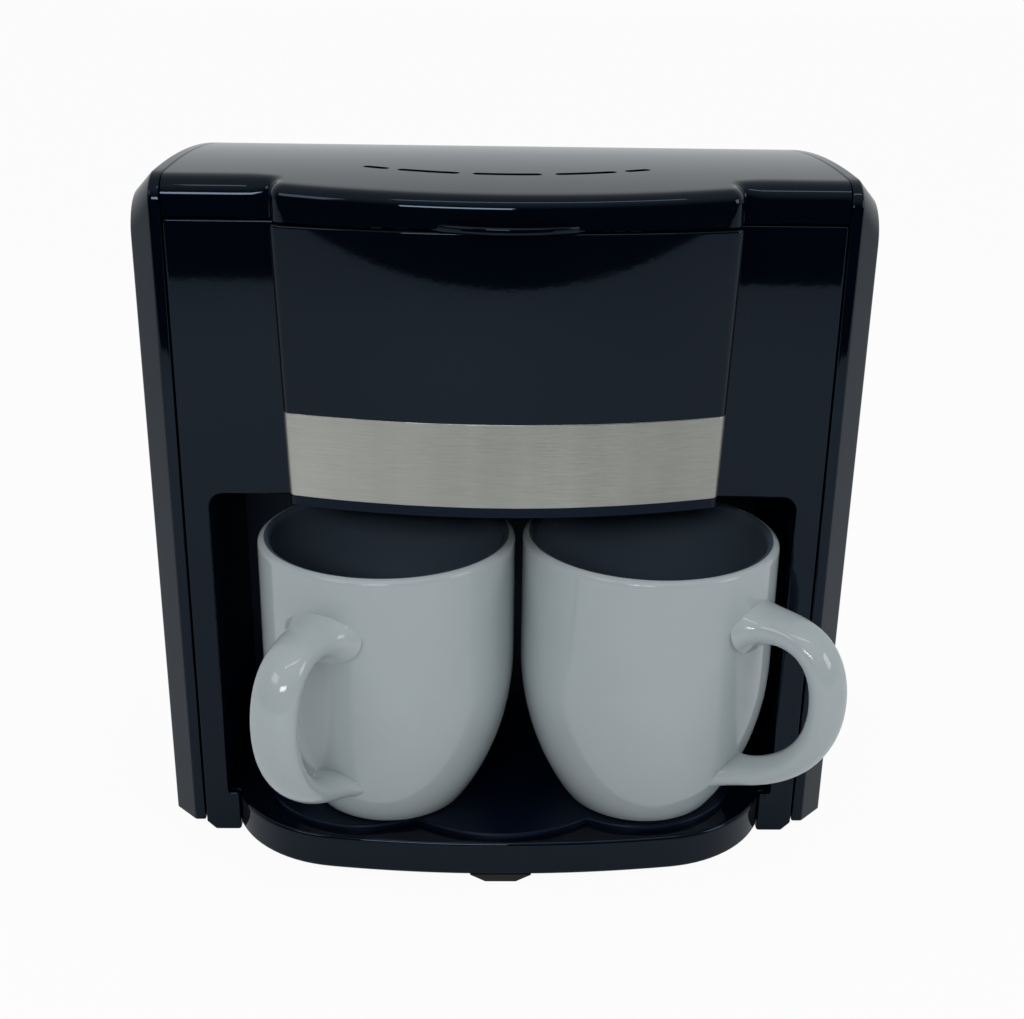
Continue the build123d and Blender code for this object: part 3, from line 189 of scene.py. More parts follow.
# Gloss casing plastic
# Black moulded plastic with a mirror-like skin: a faint orange peel and soft wiping smears.
# The node group is shared by every moulded, glazed and metal finish below.
def surface_group():
    """Node group giving a roughness with smears, a fine peel normal and a slow patch mask."""
    group = bpy.data.node_groups.new("moulded_surface", "ShaderNodeTree")
    for name, value in (("Roughness", 0.1), ("Smear", 0.05), ("Peel Scale", 900.0), ("Peel Depth", 0.02)):
        socket = group.interface.new_socket(name, in_out="INPUT", socket_type="NodeSocketFloat")
        socket.default_value = value
    for name, kind in (("Roughness", "Float"), ("Normal", "Vector"), ("Mask", "Float")):
        group.interface.new_socket(name, in_out="OUTPUT", socket_type="NodeSocket" + kind)
    smear_middle, least_roughness = 0.45, 0.02
    make, link = group.nodes.new, group.links.new
    inlet = make("NodeGroupInput")
    outlet = make("NodeGroupOutput")
    place = add_node(make, "TexCoord")
    smear = add_node(make, "TexNoise", {"Scale": 28.0, "Detail": 5.0, "Distortion": 0.6})
    link(place.outputs["Object"], smear.inputs["Vector"])
    centred = add_node(make, "Math", {1: smear_middle}, operation="SUBTRACT")
    link(smear.outputs["Fac"], centred.inputs[0])
    scaled = add_node(make, "Math", operation="MULTIPLY_ADD")
    link(centred.outputs[0], scaled.inputs[0])
    link(inlet.outputs["Smear"], scaled.inputs[1])
    link(inlet.outputs["Roughness"], scaled.inputs[2])
    kept = add_node(make, "Clamp", {"Min": least_roughness})
    link(scaled.outputs[0], kept.inputs["Value"])
    link(kept.outputs[0], outlet.inputs["Roughness"])
    link(smear.outputs["Fac"], outlet.inputs["Mask"])
    peel = add_node(make, "TexNoise", {"Detail": 2.0})
    link(place.outputs["Object"], peel.inputs["Vector"])
    link(inlet.outputs["Peel Scale"], peel.inputs["Scale"])
    bump = add_node(make, "Bump", {"Distance": 0.0004})
    link(inlet.outputs["Peel Depth"], bump.inputs["Strength"])
    link(peel.outputs["Fac"], bump.inputs["Height"])
    link(bump.outputs[0], outlet.inputs["Normal"])
    return group


moulded_surface = surface_group()


def two_tone(make, link, tones, mask):
    """A node that blends two colours by a mask."""
    blend = add_node(make, "Mix", {"A": (*tones[0], 1.0), "B": (*tones[1], 1.0)}, data_type="RGBA")
    link(mask, blend.inputs["Factor"])
    return blend


def moulded_finish(name, tones, roughness, smear, peel, ior=1.45, metallic=0.0, sheen=(1.0, 1.0, 1.0)):
    """A finish that drifts between two tones; the shared group gives gloss and a peel of scale and depth."""
    material, make, link, output = new_material(name)
    look = {"IOR": ior, "Specular Tint": (*sheen, 1.0), "Metallic": metallic}
    body = add_node(make, "BsdfPrincipled", look)
    surface = add_node(make, "Group", node_tree=moulded_surface)
    for socket, value in zip(("Roughness", "Smear", "Peel Scale", "Peel Depth"), (roughness, smear, *peel)):
        surface.inputs[socket].default_value = value
    tone = two_tone(make, link, tones, surface.outputs["Mask"])
    link(tone.outputs["Result"], body.inputs["Base Color"])
    link(surface.outputs["Roughness"], body.inputs["Roughness"])
    link(surface.outputs["Normal"], body.inputs["Normal"])
    link(body.outputs[0], output.inputs["Surface"])
    return material


black_sheen = (0.58, 0.75, 1.0)
gloss_black = moulded_finish(
    "gloss_black", ((0.0005, 0.0017, 0.0048), (0.0008, 0.0022, 0.0058)),
    roughness=0.035, smear=0.03, peel=(500.0, 0.006), ior=1.38, sheen=black_sheen,
)


def unit(vectors):
    """Vectors scaled to length one."""
    return vectors / np.linalg.norm(vectors, axis=-1, keepdims=True)


def soft_line(corners, radii, closed=False, steps=5, keep=0.3):
    """Line through corners whose tips become arcs touching both edges, turning evenly in equal steps.

    A point is kept just before and just after each arc, so that the flats between them stay flat when shaded.
    """
    corners = np.asarray(corners, float)
    radii = np.asarray(radii, float)[:, None]
    tips = corners if closed else corners[1:-1]
    before = np.roll(corners, 1, axis=0) if closed else corners[:-2]
    after = np.roll(corners, -1, axis=0) if closed else corners[2:]
    back, ahead = unit(before - tips), unit(after - tips)
    middle = unit(back + ahead)
    half_cos = np.sum(middle * ahead, axis=1, keepdims=True)
    half_sin = np.sqrt(1 - half_cos**2)
    centre = tips + middle * radii / half_sin
    reach = radii * half_cos / half_sin
    start, end = tips + back * reach - centre, tips + ahead * reach - centre
    turn = np.arctan2(start[:, 0] * end[:, 1] - start[:, 1] * end[:, 0], np.sum(start * end, axis=1))
    angle = np.arctan2(start[:, 1], start[:, 0])[:, None] + turn[:, None] * np.linspace(0, 1, steps + 1)
    arcs = centre[:, None] + radii[:, None] * np.stack([np.cos(angle), np.sin(angle)], axis=-1)
    lead_in, lead_out = tips + back * (reach + keep), tips + ahead * (reach + keep)
    line = np.concatenate([lead_in[:, None], arcs, lead_out[:, None]], axis=1).reshape(-1, 2)
    return line if closed else np.concatenate([corners[:1], line, corners[-1:]])


def inset(line, distance, closed=True):
    """Line moved to its left: each point goes along its mitre, so that every edge moves by the distance."""
    before, after = np.roll(line, 1, axis=0), np.roll(line, -1, axis=0)
    if not closed:
        before[0] = 2 * line[0] - line[1]
        after[-1] = 2 * line[-1] - line[-2]
    last, following = unit(line - before), unit(after - line)
    last_normal = np.column_stack([-last[:, 1], last[:, 0]])
    next_normal = np.column_stack([-following[:, 1], following[:, 0]])
    lean = 1 + np.sum(last_normal * next_normal, axis=1, keepdims=True)
    return line + np.reshape(distance, (-1, 1)) * (last_normal + next_normal) / lean


def carry(outline, profile):
    """Rings of a closed outline: at each profile step it moves in by the first value and up to the second."""
    return np.array([
        np.column_stack([inset(outline, step), np.full(len(outline), place)]) for step, place in profile
    ])


def skin(name, points, wrap=True, caps=True):
    """Mesh of quads over a grid of points: wrap joins the last column to the first, caps fill end rows."""
    rows, columns = points.shape[:2]
    index = np.arange(rows * columns).reshape(rows, columns)
    around = np.concatenate([index, index[:, :1]], axis=1) if wrap else index
    quads = np.stack([around[:-1, :-1], around[:-1, 1:], around[1:, 1:], around[1:, :-1]], axis=-1)
    faces = quads.reshape(-1, 4).tolist()
    faces += [index[0, ::-1].tolist(), index[-1].tolist()] if caps else []
    mesh = bpy.data.meshes.new(name)
    mesh.from_pydata((points.reshape(-1, 3) * MM).tolist(), [], faces)
    shape = bmesh.new()
    shape.from_mesh(mesh)
    bmesh.ops.remove_doubles(shape, verts=shape.verts, dist=1e-7)
    bmesh.ops.recalc_face_normals(shape, faces=shape.faces)
    shape.to_mesh(mesh)
    shape.free()
    return mesh


def add_piece(name, mesh, body, slot, node, *materials, smooth=35.0):
    """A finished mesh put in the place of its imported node, shaded smooth up to an angle in degrees."""
    mesh.shade_smooth()
    mesh.set_sharp_from_angle(angle=radians(smooth))
    for material in materials:
        mesh.materials.append(material)
    piece = bpy.data.objects.new(name, mesh)
    scene.collection.objects.link(piece)
    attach(piece, body)
    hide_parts(node)


# Front fascia
# One gloss moulding in front of the casing: two columns down to the table, joined by a bar under the head.
# Its outline is one line round columns, head window and niche with softened edges; it clips to the panels.
half_fascia, fascia_top, fascia_wall = 99.6, 205.7, 2.4
niche_half, niche_top, base_top, block_half = 91.6, 121.6, 14.3, 88.0
window_half, window_bottom, foot_chamfer = 58.0, 125.0, 3.0
fascia_soft, niche_soft, front_round, front_lead = 1.0, 4.5, 0.6, 0.95


def mirrored(points):
    """Corners of the left half, in the order that goes on round the outline."""
    return [(-x, z) for x, z in reversed(points)]


right_edge = [
    (block_half, 0), (half_fascia - foot_chamfer, 0), (half_fascia, foot_chamfer), (half_fascia, fascia_top),
    (window_half, fascia_top), (window_half, window_bottom),
]
right_inner = [(niche_half, niche_top), (niche_half, base_top), (block_half, base_top)]
right_radii, inner_radii = [fascia_soft] * len(right_edge), [niche_soft, fascia_soft, fascia_soft]
fascia_corners = right_edge + mirrored(right_edge) + mirrored(right_inner) + right_inner
fascia_radii = right_radii + right_radii[::-1] + inner_radii[::-1] + inner_radii
fascia_line = soft_line(fascia_corners, fascia_radii, closed=True)
fascia_profile = soft_line([(0, fascia_wall), (0, 0), (front_lead, 0)], [front_round], keep=0.25)
fascia_grid = carry(fascia_line, fascia_profile)[:, :, [0, 2, 1]] + (0, y_front, 0)
fascia_mesh = skin("fascia_moulding", fascia_grid)
add_piece("fascia_moulding", fascia_mesh, "casing", "gloss_black", "front_fascia", gloss_black)

# Side panels
# Gloss shells over the sides of the casing, with a broad bevel round the front, top and rear edges.
# The right one has a recess for the rocker switch. They clip to the casing and hold the lid's hinge pins.
body_depth, body_height, crown_setback, crown_radius = 118.0, 220.0, 50.0, 520.0
half_in, panel_strip, panel_bevel, panel_bottom = 100.0, 3.2, 7.8, 4.0
front_corner, rear_corner, corner_growth, corner_sweep, foot_lean = 9.0, 6.0, 0.35, 84.0, 0.02
panel_laps, panel_softs = (1.5, 2.5), [0.5, 1.2, 1.6]
half_out = half_in + panel_strip + panel_bevel


def crown(depth):
    """Height of the crowned top: a circle of the crown's radius, highest at its setback from the fascia."""
    return body_height - crown_radius + np.sqrt(crown_radius**2 - (depth - crown_setback) ** 2)


def panel_ring(margin):
    """Side view moved in by a margin at front, top and rear: foot, two corner arcs and the crown between."""
    front_round, rear_round = np.array([front_corner, rear_corner]) + corner_growth * margin
    turns = np.radians(np.linspace(0, corner_sweep, 9))
    rear, front = body_depth - margin - rear_round, margin + front_round
    rear_arc = np.column_stack([rear + rear_round * np.cos(turns), rear_round * np.sin(turns)])
    rear_arc[:, 1] += crown(rear_arc[-1, 0]) - margin - rear_arc[-1, 1]
    front_arc = np.column_stack([front - front_round * np.cos(turns), front_round * np.sin(turns)])[::-1]
    front_arc[:, 1] += crown(front_arc[0, 0]) - margin - front_arc[0, 1]
    run = np.linspace(rear_arc[-1, 0], front_arc[0, 0], 26)[1:-1]
    top = np.column_stack([run, crown(run) - margin])
    foot_height = panel_bottom + foot_lean * margin
    foot = np.array([(margin, foot_height), (body_depth - margin, foot_height)])
    return np.concatenate([foot, rear_arc, top, front_arc])


panel_profile = soft_line([
    (half_in, panel_laps[0]), (half_in, 0), (half_in + panel_strip, 0),
    (half_out, panel_bevel), (half_out, panel_bevel + panel_laps[1]),
], panel_softs, keep=0.5)
panel_rings = [(x, panel_ring(margin)) for x, margin in panel_profile]
panel_grid = np.array([np.column_stack([np.full(len(ring), x), ring]) for x, ring in panel_rings])
panel_grid = panel_grid + (0, y_front, 0)


def cut(mesh, cutter):
    """Mesh with the cutter's volume taken out of it."""
    blank = bpy.data.objects.new("blank", mesh)
    tool = bpy.data.objects.new("tool", cutter)
    scene.collection.objects.link(blank)
    scene.collection.objects.link(tool)
    step = blank.modifiers.new("cut", "BOOLEAN")
    step.operation = "DIFFERENCE"
    step.solver = "EXACT"
    step.object = tool
    bpy.context.view_layer.update()
    result = bpy.data.meshes.new_from_object(blank.evaluated_get(bpy.context.evaluated_depsgraph_get()))
    bpy.data.objects.remove(blank)
    bpy.data.objects.remove(tool)
    return result


switch_depth, switch_height = 82.0, 62.0
recess_box, recess_corner, recess_drop = (11.0, 16.0), 2.0, 2.5
bay_box, bay_corner, overshoot = (7.1, 12.1), 0.4, 5.0


def box_tool(name, half, corner, low, high):
    """Rounded box round the switch's middle, between two places across the panel."""
    corners = np.array([(-half[0], -half[1]), (half[0], -half[1]), (half[0], half[1]), (-half[0], half[1])])
    line = soft_line(corners, [corner] * 4, closed=True, keep=0.1) + (y_front + switch_depth, switch_height)
    return skin(name, carry(line, [(0, low), (0, high)])[:, :, [2, 0, 1]])


left_panel = skin("left_panel_moulding", panel_grid * (-1, 1, 1))
add_piece("left_panel_moulding", left_panel, "casing", "gloss_black", "left_side_panel", gloss_black)
recess_tool = box_tool("recess_tool", recess_box, recess_corner, half_out - recess_drop, half_out + overshoot)
bay_tool = box_tool("bay_tool", bay_box, bay_corner, half_in - overshoot, half_out)
right_panel = cut(cut(skin("right_panel_moulding", panel_grid), recess_tool), bay_tool)
add_piece("right_panel_moulding", right_panel, "casing", "gloss_black", "right_side_panel", gloss_black)

# Base pan
# A gloss tray that bows out under the mugs, with a flat box behind the fascia.
# It is open below for the bottom plate, which four screws hold.
tray_reach, tray_shoulder, tray_radius, tray_edge = 29.2, 55.0, 380.0, 87.7
base_bottom, cover_depth, tray_wall, tray_lap, tray_flat = 2.5, 115.6, 2.4, 2.2, 2.3
box_softs, tray_softs = [0.6, 3.0, 3.0], [0.3, 0.9, 1.3]
bow_turn = np.arcsin(tray_shoulder / tray_radius)
bow = np.linspace(-bow_turn, bow_turn, 41)
bow_line = np.column_stack([tray_radius * np.sin(bow), tray_radius * (1 - np.cos(bow)) - tray_reach])
chord = np.array([tray_edge, 0]) - bow_line[-1]
side_turn = 2 * (np.arctan2(chord[1], chord[0]) - bow_turn)
side_radius = np.hypot(*chord) / (2 * np.sin(side_turn / 2))
side = bow_turn + side_turn * np.linspace(0, 1, 15)[1:]
side_run = np.column_stack([np.sin(side) - np.sin(bow_turn), np.cos(bow_turn) - np.cos(side)])
side_line = bow_line[-1] + side_radius * side_run
box_right = soft_line([
    (tray_edge, 0), (tray_edge, fascia_wall), (half_fascia, fascia_wall),
    (half_fascia, cover_depth), (0, cover_depth),
], box_softs, keep=0.2)[1:-1]
right_half = np.concatenate([side_line, box_right])
tray_line = np.concatenate([bow_line, right_half, (right_half * (-1, 1))[::-1]]) + (0, y_front)
tray_profile = soft_line([
    (tray_wall, base_bottom + tray_lap), (tray_wall, base_bottom), (0, base_bottom),
    (0, base_top), (tray_flat, base_top),
], tray_softs, keep=0.4)
base_mesh = skin("base_moulding", carry(tray_line, tray_profile))
add_piece("base_moulding", base_mesh, "casing", "gloss_black", "base_pan", gloss_black)

# Cup rest
# A satin plate two millimetres high, pressed onto the base.
# It has a round lobe under each mug and a wider one between them.
satin_black = moulded_finish(
    "satin_black", ((0.0012, 0.0034, 0.0115), (0.002, 0.0044, 0.0135)),
    roughness=0.3, smear=0.12, peel=(2600.0, 0.10), ior=1.32, sheen=black_sheen,
)
rest_side, rest_radius, rest_setback, lobe_radius, lobe_setback = 45.5, 33.3, 11.0, 45.0, 18.0
rest_top, rest_back, rest_corner, rest_round, rest_lead = 16.3, 61.6, 2.5, 0.8, 1.6
rest_sink = 0.2
rest_half = rest_side + rest_radius
rest_x = rest_half * np.sin(np.linspace(-np.pi / 2, np.pi / 2, 181))
outer_lobes = rest_setback - np.sqrt(np.maximum(rest_radius**2 - (np.abs(rest_x) - rest_side) ** 2, 0))
middle_lobe = lobe_setback - np.sqrt(np.maximum(lobe_radius**2 - rest_x**2, 0))
middle_lobe = np.where(np.abs(rest_x) < lobe_radius, middle_lobe, rest_back)
rest_front = np.column_stack([rest_x, np.minimum(outer_lobes, middle_lobe)])
rest_rear = soft_line([
    (rest_half, rest_setback), (rest_half, rest_back), (-rest_half, rest_back), (-rest_half, rest_setback),
], [rest_corner] * 2)
rest_line = np.concatenate([rest_front, rest_rear[1:-1]]) + (0, y_front)
rest_profile = soft_line([(0, base_top - rest_sink), (0, rest_top), (rest_lead, rest_top)], [rest_round])
rest_mesh = skin("cup_rest_plate", carry(rest_line, rest_profile))
add_piece("cup_rest_plate", rest_mesh, "casing", "satin_black", "cup_rest", satin_black)

# Brew head shell
# The bowed gloss front over the mugs, clipped into the fascia's window.
# It narrows downwards, and its lower part is set back behind the steel band.
head_reach, corner_reach, head_corner, side_lead = 19.5, 8.6, 3.5, 0.4
head_half_bottom, head_half_top = 65.3, 68.0
band_bottom, band_top, band_sheet = 124.5, 150.5, 0.8
band_recess, shell_wall, shell_softs = 0.85, 2.4, [0.2, 0.2, 0.25, 0.7, 0.5, 0.2]


def head_half(height):
    """Half width of the head, straight from its bottom to its top."""
    share = (height - niche_top) / (fascia_top - niche_top)
    return head_half_bottom + (head_half_top - head_half_bottom) * share


def bowed_line(half, corner, steps=64):
    """Plan of the head from left to right: straight side, corner arc, one wide bow, and the same mirrored.

    The bow is the circle through both corners and the middle reach; the corner arc touches side and bow.
    """
    rise = head_reach - corner_reach
    bow_radius = (half**2 + rise**2) / (2 * rise)
    bow_middle = bow_radius - head_reach
    corner_x = half - corner
    corner_y = bow_middle - np.sqrt((bow_radius - corner) ** 2 - corner_x**2)
    touch = np.arctan2(corner_x, bow_middle - corner_y)
    turns = np.linspace(-np.pi / 2, -touch, 9)
    arc = np.column_stack([-corner_x + corner * np.sin(turns), corner_y - corner * np.cos(turns)])
    sweep = np.linspace(-touch, touch, steps)[1:-1]
    wide = np.column_stack([bow_radius * np.sin(sweep), bow_middle - bow_radius * np.cos(sweep)])
    sides = np.array([(-half, 0.0), (-half, corner_y + side_lead)])
    left = np.concatenate([sides, arc])
    return np.concatenate([left, wide, (left * (-1, 1))[::-1]])


def head_wall(profile):
    """Wall of the head: the plan at each step's height, moved in by the step; rows follow the plan."""
    plans = np.array([
        inset(bowed_line(head_half(z), head_corner), step, closed=False) for step, z in profile
    ])
    heights = np.broadcast_to(profile[:, 1, None, None], (*plans.shape[:2], 1))
    return np.concatenate([plans, heights], axis=2).transpose(1, 0, 2) + (0, y_front, 0)


shell_profile = soft_line([
    (band_recess, band_bottom), (band_recess, band_top), (0, band_top),
    (0, fascia_top), (shell_wall, fascia_top), (shell_wall, band_bottom),
], shell_softs, closed=True, steps=4, keep=0.12)
shell_mesh = skin("head_moulding", head_wall(shell_profile))
add_piece("head_moulding", shell_mesh, "casing", "gloss_black", "head_shell", gloss_black)

# Steel trim band
# A strip of brushed stainless sheet wrapped round the head's foot; the brushing runs along it.
# Slow patches and a paler left end stand for the uneven sheen of the brushed face; the paler left end is a
# painted reflection, lighter towards the left.
band_tones = ((0.285, 0.29, 0.266, 1.0), (0.545, 0.55, 0.508, 1.0))
grain_scale, patch_scale = (110.0, 110.0, 4200.0), (75.0, 20.0, 3.0)
painted_sheen_span, painted_sheen_levels, grain_gloss, band_soft = (-0.058, 0.004), (0.95, 0.42), (0.26, 0.46), 0.25
band_steel, make, link, output = new_material("band_steel")
metal = add_node(make, "BsdfPrincipled", {"Metallic": 1.0})
place = add_node(make, "TexCoord")


def stretched_noise(scale, detail, roughness):
    """Noise drawn out along the axes by a scale for each."""
    stretch = add_node(make, "Mapping", {"Scale": scale})
    link(place.outputs["Object"], stretch.inputs["Vector"])
    noise = add_node(make, "TexNoise", {"Scale": 1.0, "Detail": detail, "Roughness": roughness})
    link(stretch.outputs[0], noise.inputs["Vector"])
    return noise.outputs["Fac"]


def even_mix(first, second):
    """The mean of two values."""
    mean = add_node(make, "Mix", {"Factor": 0.5}, data_type="FLOAT")
    link(first, mean.inputs["A"])
    link(second, mean.inputs["B"])
    return mean.outputs["Result"]


grain = stretched_noise(grain_scale, 6.0, 0.65)
patch = stretched_noise(patch_scale, 2.0, 0.5)
axes = add_node(make, "SeparateXYZ")
link(place.outputs["Object"], axes.inputs[0])
# Painted reflection: the band's colour is made paler towards its left end.
painted_sheen_end = ramp_node(make, link, axes.outputs["X"], painted_sheen_span, painted_sheen_levels, interpolation_type="SMOOTHSTEP")
tone = add_node(make, "ValToRGB")
for stop, position, colour in zip(tone.color_ramp.elements, (0.25, 0.75), band_tones):
    stop.position, stop.color = position, colour
link(even_mix(grain, even_mix(patch, painted_sheen_end.outputs[0])), tone.inputs["Fac"])
link(tone.outputs["Color"], metal.inputs["Base Color"])
gloss = ramp_node(make, link, grain, (0.0, 1.0), grain_gloss)
link(gloss.outputs[0], metal.inputs["Roughness"])
scratch = add_node(make, "Bump", {"Strength": 0.25, "Distance": 0.0002})
link(grain, scratch.inputs["Height"])
link(scratch.outputs[0], metal.inputs["Normal"])
link(metal.outputs[0], output.inputs["Surface"])
band_corners = [(0, band_bottom), (0, band_top), (band_sheet, band_top), (band_sheet, band_bottom)]
band_profile = soft_line(band_corners, [band_soft] * 4, closed=True, steps=3, keep=0.1)
band_mesh = skin("band_strip", head_wall(band_profile))
add_piece("band_strip", band_mesh, "casing", "band_steel", "trim_band", band_steel)

# Lid
# A gloss moulding over the whole top: flat wings, a bulge over the head, a finger tab and five steam slots.
# Its top follows the crown back to a hinge barrel that turns on two pins in the side panels.
lid_half, bulge_half, lid_lip, lid_wall = 99.6, 67.7, 206.5, 2.2
bulge_corner, inner_corner, wing_round, bulge_round = 5.5, 1.6, 6.0, 4.0
hinge_radius, barrel_end, barrel_rows = 6.0, -190.0, 25
hinge_depth = body_depth - hinge_radius
wing_gap, round_blend, side_points = 0.4, 3.0, 10
fan_rows, fan_ease, fan_margins, skirt_drop = 33, 1.15, (4.0, 9.0), 0.6
nook_x = -bulge_half - inner_corner
wing = np.column_stack([np.linspace(-lid_half, nook_x - wing_gap, 9), np.zeros(9)])
bend = np.radians(np.linspace(90, 0, 6))
nook = np.column_stack([nook_x + inner_corner * np.cos(bend), inner_corner * (np.sin(bend) - 1)])
bulge = bowed_line(bulge_half, bulge_corner, 90)
lid_path = np.concatenate([wing, nook, bulge[1:-1], (nook * (-1, 1))[::-1], (wing * (-1, 1))[::-1]])
round_span = [bulge_half, bulge_half + inner_corner + round_blend]
edge_round = np.interp(np.abs(lid_path[:, 0]), round_span, [bulge_round, wing_round])
turns = np.radians(np.linspace(0, 90, 8))


def edge_ring(turn):
    """One step of the lid's rounded edge: a quarter circle from the upright face to the crowned top."""
    ring = inset(lid_path, edge_round * (1 - np.cos(turn)), closed=False)
    ring[[0, -1], 0] = lid_path[[0, -1], 0]
    return np.column_stack([ring, crown(ring[:, 1]) - edge_round * (1 - np.sin(turn))])


edge = np.array([edge_ring(turn) for turn in turns])
stations = np.concatenate([[0], np.cumsum(np.hypot(*np.diff(lid_path, axis=0).T))])
wing_end, nook_end = len(wing) - 1, len(wing) + len(nook) - 1
marks = np.array([0, wing_end, nook_end, nook_end + side_points + 1])
marks = np.concatenate([marks, len(lid_path) - 1 - marks[::-1]])
spread = np.array([
    lid_half, bulge_half + fan_margins[0], bulge_half - bulge_round, bulge_half - fan_margins[1],
])
rear_x = np.interp(stations, stations[marks], np.concatenate([-spread, spread[::-1]]))
share = (np.linspace(0, 1, fan_rows + 1)[1:, None]) ** fan_ease
top_x = edge[-1, :, 0] * (1 - share) + rear_x * share
top_y = edge[-1, :, 1] * (1 - share) + hinge_depth * share
top = np.stack([top_x, top_y, crown(top_y)], axis=-1)
curl = np.radians(np.linspace(90, barrel_end, barrel_rows + 1)[1:, None])
curl = np.broadcast_to(curl, (barrel_rows, len(lid_path)))
barrel_y = hinge_depth + hinge_radius * np.cos(curl)
barrel_z = crown(hinge_depth) - hinge_radius + hinge_radius * np.sin(curl)
barrel = np.stack([np.broadcast_to(rear_x, curl.shape), barrel_y, barrel_z], axis=-1)
rim = np.concatenate([edge, top])
place_up = np.array([0, y_front, 0])


def hung(line):
    """Rows from a line of the lid straight down to the lip."""
    foot = line * (1, 1, 0) + (0, 0, lid_lip)
    return np.array([line, line * (1 - skirt_drop) + foot * skirt_drop, foot])


face = hung(edge[0])[:0:-1]
sheet_grid = np.concatenate([face, edge, top, barrel])
left_skirt, right_skirt = (hung(rim[:-3, column]).transpose(1, 0, 2) for column in (0, -1))


def joined(name, *grids):
    """One mesh from several open grids that share edges."""
    shape = bmesh.new()
    for grid in grids:
        part = skin(name, grid + place_up, wrap=False, caps=False)
        shape.from_mesh(part)
        bpy.data.meshes.remove(part)
    bmesh.ops.remove_doubles(shape, verts=shape.verts, dist=2e-6)
    bmesh.ops.recalc_face_normals(shape, faces=shape.faces)
    mesh = bpy.data.meshes.new(name)
    shape.to_mesh(mesh)
    shape.free()
    return mesh


def thickened(mesh, thickness):
    """Open sheet given a wall on its inner side."""
    blank = bpy.data.objects.new("sheet", mesh)
    scene.collection.objects.link(blank)
    wall = blank.modifiers.new("wall", "SOLIDIFY")
    wall.thickness = thickness * MM
    wall.offset = -1.0
    bpy.context.view_layer.update()
    result = bpy.data.meshes.new_from_object(blank.evaluated_get(bpy.context.evaluated_depsgraph_get()))
    bpy.data.objects.remove(blank)
    return result


slot_radius, slot_half, slot_setback, slot_floor = 95.0, 1.5, 9.0, lid_lip + 4.0
slot_spans = [(-41.5, -36.5), (-31.0, -15.5), (-8.7, 8.7), (15.5, 31.0), (36.5, 41.5)]


def slot_tool(start, end):
    """Slot along an arc: a strip of even width round the arc with half-round ends, taken straight down."""
    first, last = np.arcsin(start / slot_radius), np.arcsin(end / slot_radius)
    along = np.linspace(first, last, 15)
    cap = np.linspace(0, np.pi, 7)[1:-1]
    cap_turn, cap_reach = slot_half * np.sin(cap) / slot_radius, slot_half * np.cos(cap)
    near = np.column_stack([along, np.full(15, slot_radius + slot_half)])
    far = np.column_stack([along[::-1], np.full(15, slot_radius - slot_half)])
    right_end = np.column_stack([last + cap_turn, slot_radius + cap_reach])
    left_end = np.column_stack([first - cap_turn, slot_radius - cap_reach])
    turn, reach = np.concatenate([near, right_end, far, left_end]).T
    depth = slot_setback + slot_radius - reach * np.cos(turn)
    line = np.column_stack([reach * np.sin(turn), depth + y_front])
    return skin("slot_tool", carry(line, [(0, slot_floor), (0, body_height + overshoot)]))


def merged(mesh, other):
    """The first mesh with the second one's faces added to it."""
    shape = bmesh.new()
    shape.from_mesh(mesh)
    shape.from_mesh(other)
    shape.to_mesh(mesh)
    shape.free()
    return mesh


lid_mesh = thickened(joined("lid_moulding", sheet_grid, left_skirt, right_skirt), lid_wall)
for span in slot_spans:
    lid_mesh = cut(lid_mesh, slot_tool(*span))
tab_half, tab_reach, tab_thickness, tab_root, tab_taper = 21.5, 5.0, 2.0, 1.5, 2.0
tab_gap, tab_lead, tab_soft = 0.1, 1.2, 0.6
tab_back = tab_thickness - head_reach
tab_turn = np.linspace(-1, 1, 33)
tab_line = np.concatenate([
    np.column_stack([tab_half * tab_turn, tab_back - (tab_reach + tab_thickness) * (1 - tab_turn**2)]),
    [(tab_half - tab_taper, tab_back + tab_root), (tab_taper - tab_half, tab_back + tab_root)],
]) + (0, y_front)
tab_low = fascia_top + tab_gap
tab_high = tab_low + tab_thickness
tab_corners = [(tab_lead, tab_low), (0, tab_low), (0, tab_high), (tab_lead, tab_high)]
tab_mesh = skin("finger_tab", carry(tab_line, soft_line(tab_corners, [tab_soft] * 2, keep=0.2)))
lid_mesh = merged(lid_mesh, tab_mesh)
add_piece("lid_moulding", lid_mesh, "lid", "gloss_black", "lid", gloss_black, smooth=40.0)

# Mugs
# Slip-cast stoneware with a bullet-shaped body and a loop handle: gloss white glaze outside, charcoal inside.
# They stand loose on the cup rest, their handles turned to the left and to the right of the front.
mug_radius, mug_height, mug_wall, mug_foot, mug_floor, mug_shoulder = 40.8, 91.0, 4.0, 25.5, 5.0, 50.0
mug_base, mug_setback = 16.6, 5.5
foot_rise, foot_hollow, foot_ring, foot_soft, axis_gap = 0.9, 1.2, (5.5, 4.5, 0.7), 0.6, 0.4
rim_drop, well_rise, well_inset, well_round = 2.4, 3.2, 1.6, 3.0
mug_white = moulded_finish(
    "mug_white", ((0.47, 0.525, 0.54), (0.51, 0.565, 0.58)),
    roughness=0.09, smear=0.05, peel=(160.0, 0.03), ior=1.5,
)
mug_charcoal = moulded_finish(
    "mug_charcoal", ((0.082, 0.115, 0.158), (0.098, 0.135, 0.18)),
    roughness=0.22, smear=0.10, peel=(220.0, 0.05), ior=1.42,
)
bowl = ((mug_radius - mug_foot) ** 2 + mug_shoulder**2) / (2 * (mug_radius - mug_foot))


def mug_side(radius, low_heights, high_heights, straight):
    """Wall of the mug: a circle of a given radius up to the shoulder, and a straight run above it."""
    low_reach = mug_radius - bowl + np.sqrt(radius**2 - (mug_shoulder - low_heights) ** 2)
    low = np.column_stack([low_reach, low_heights])
    high = np.column_stack([np.full(len(high_heights), straight), high_heights])
    return np.concatenate([low, high])


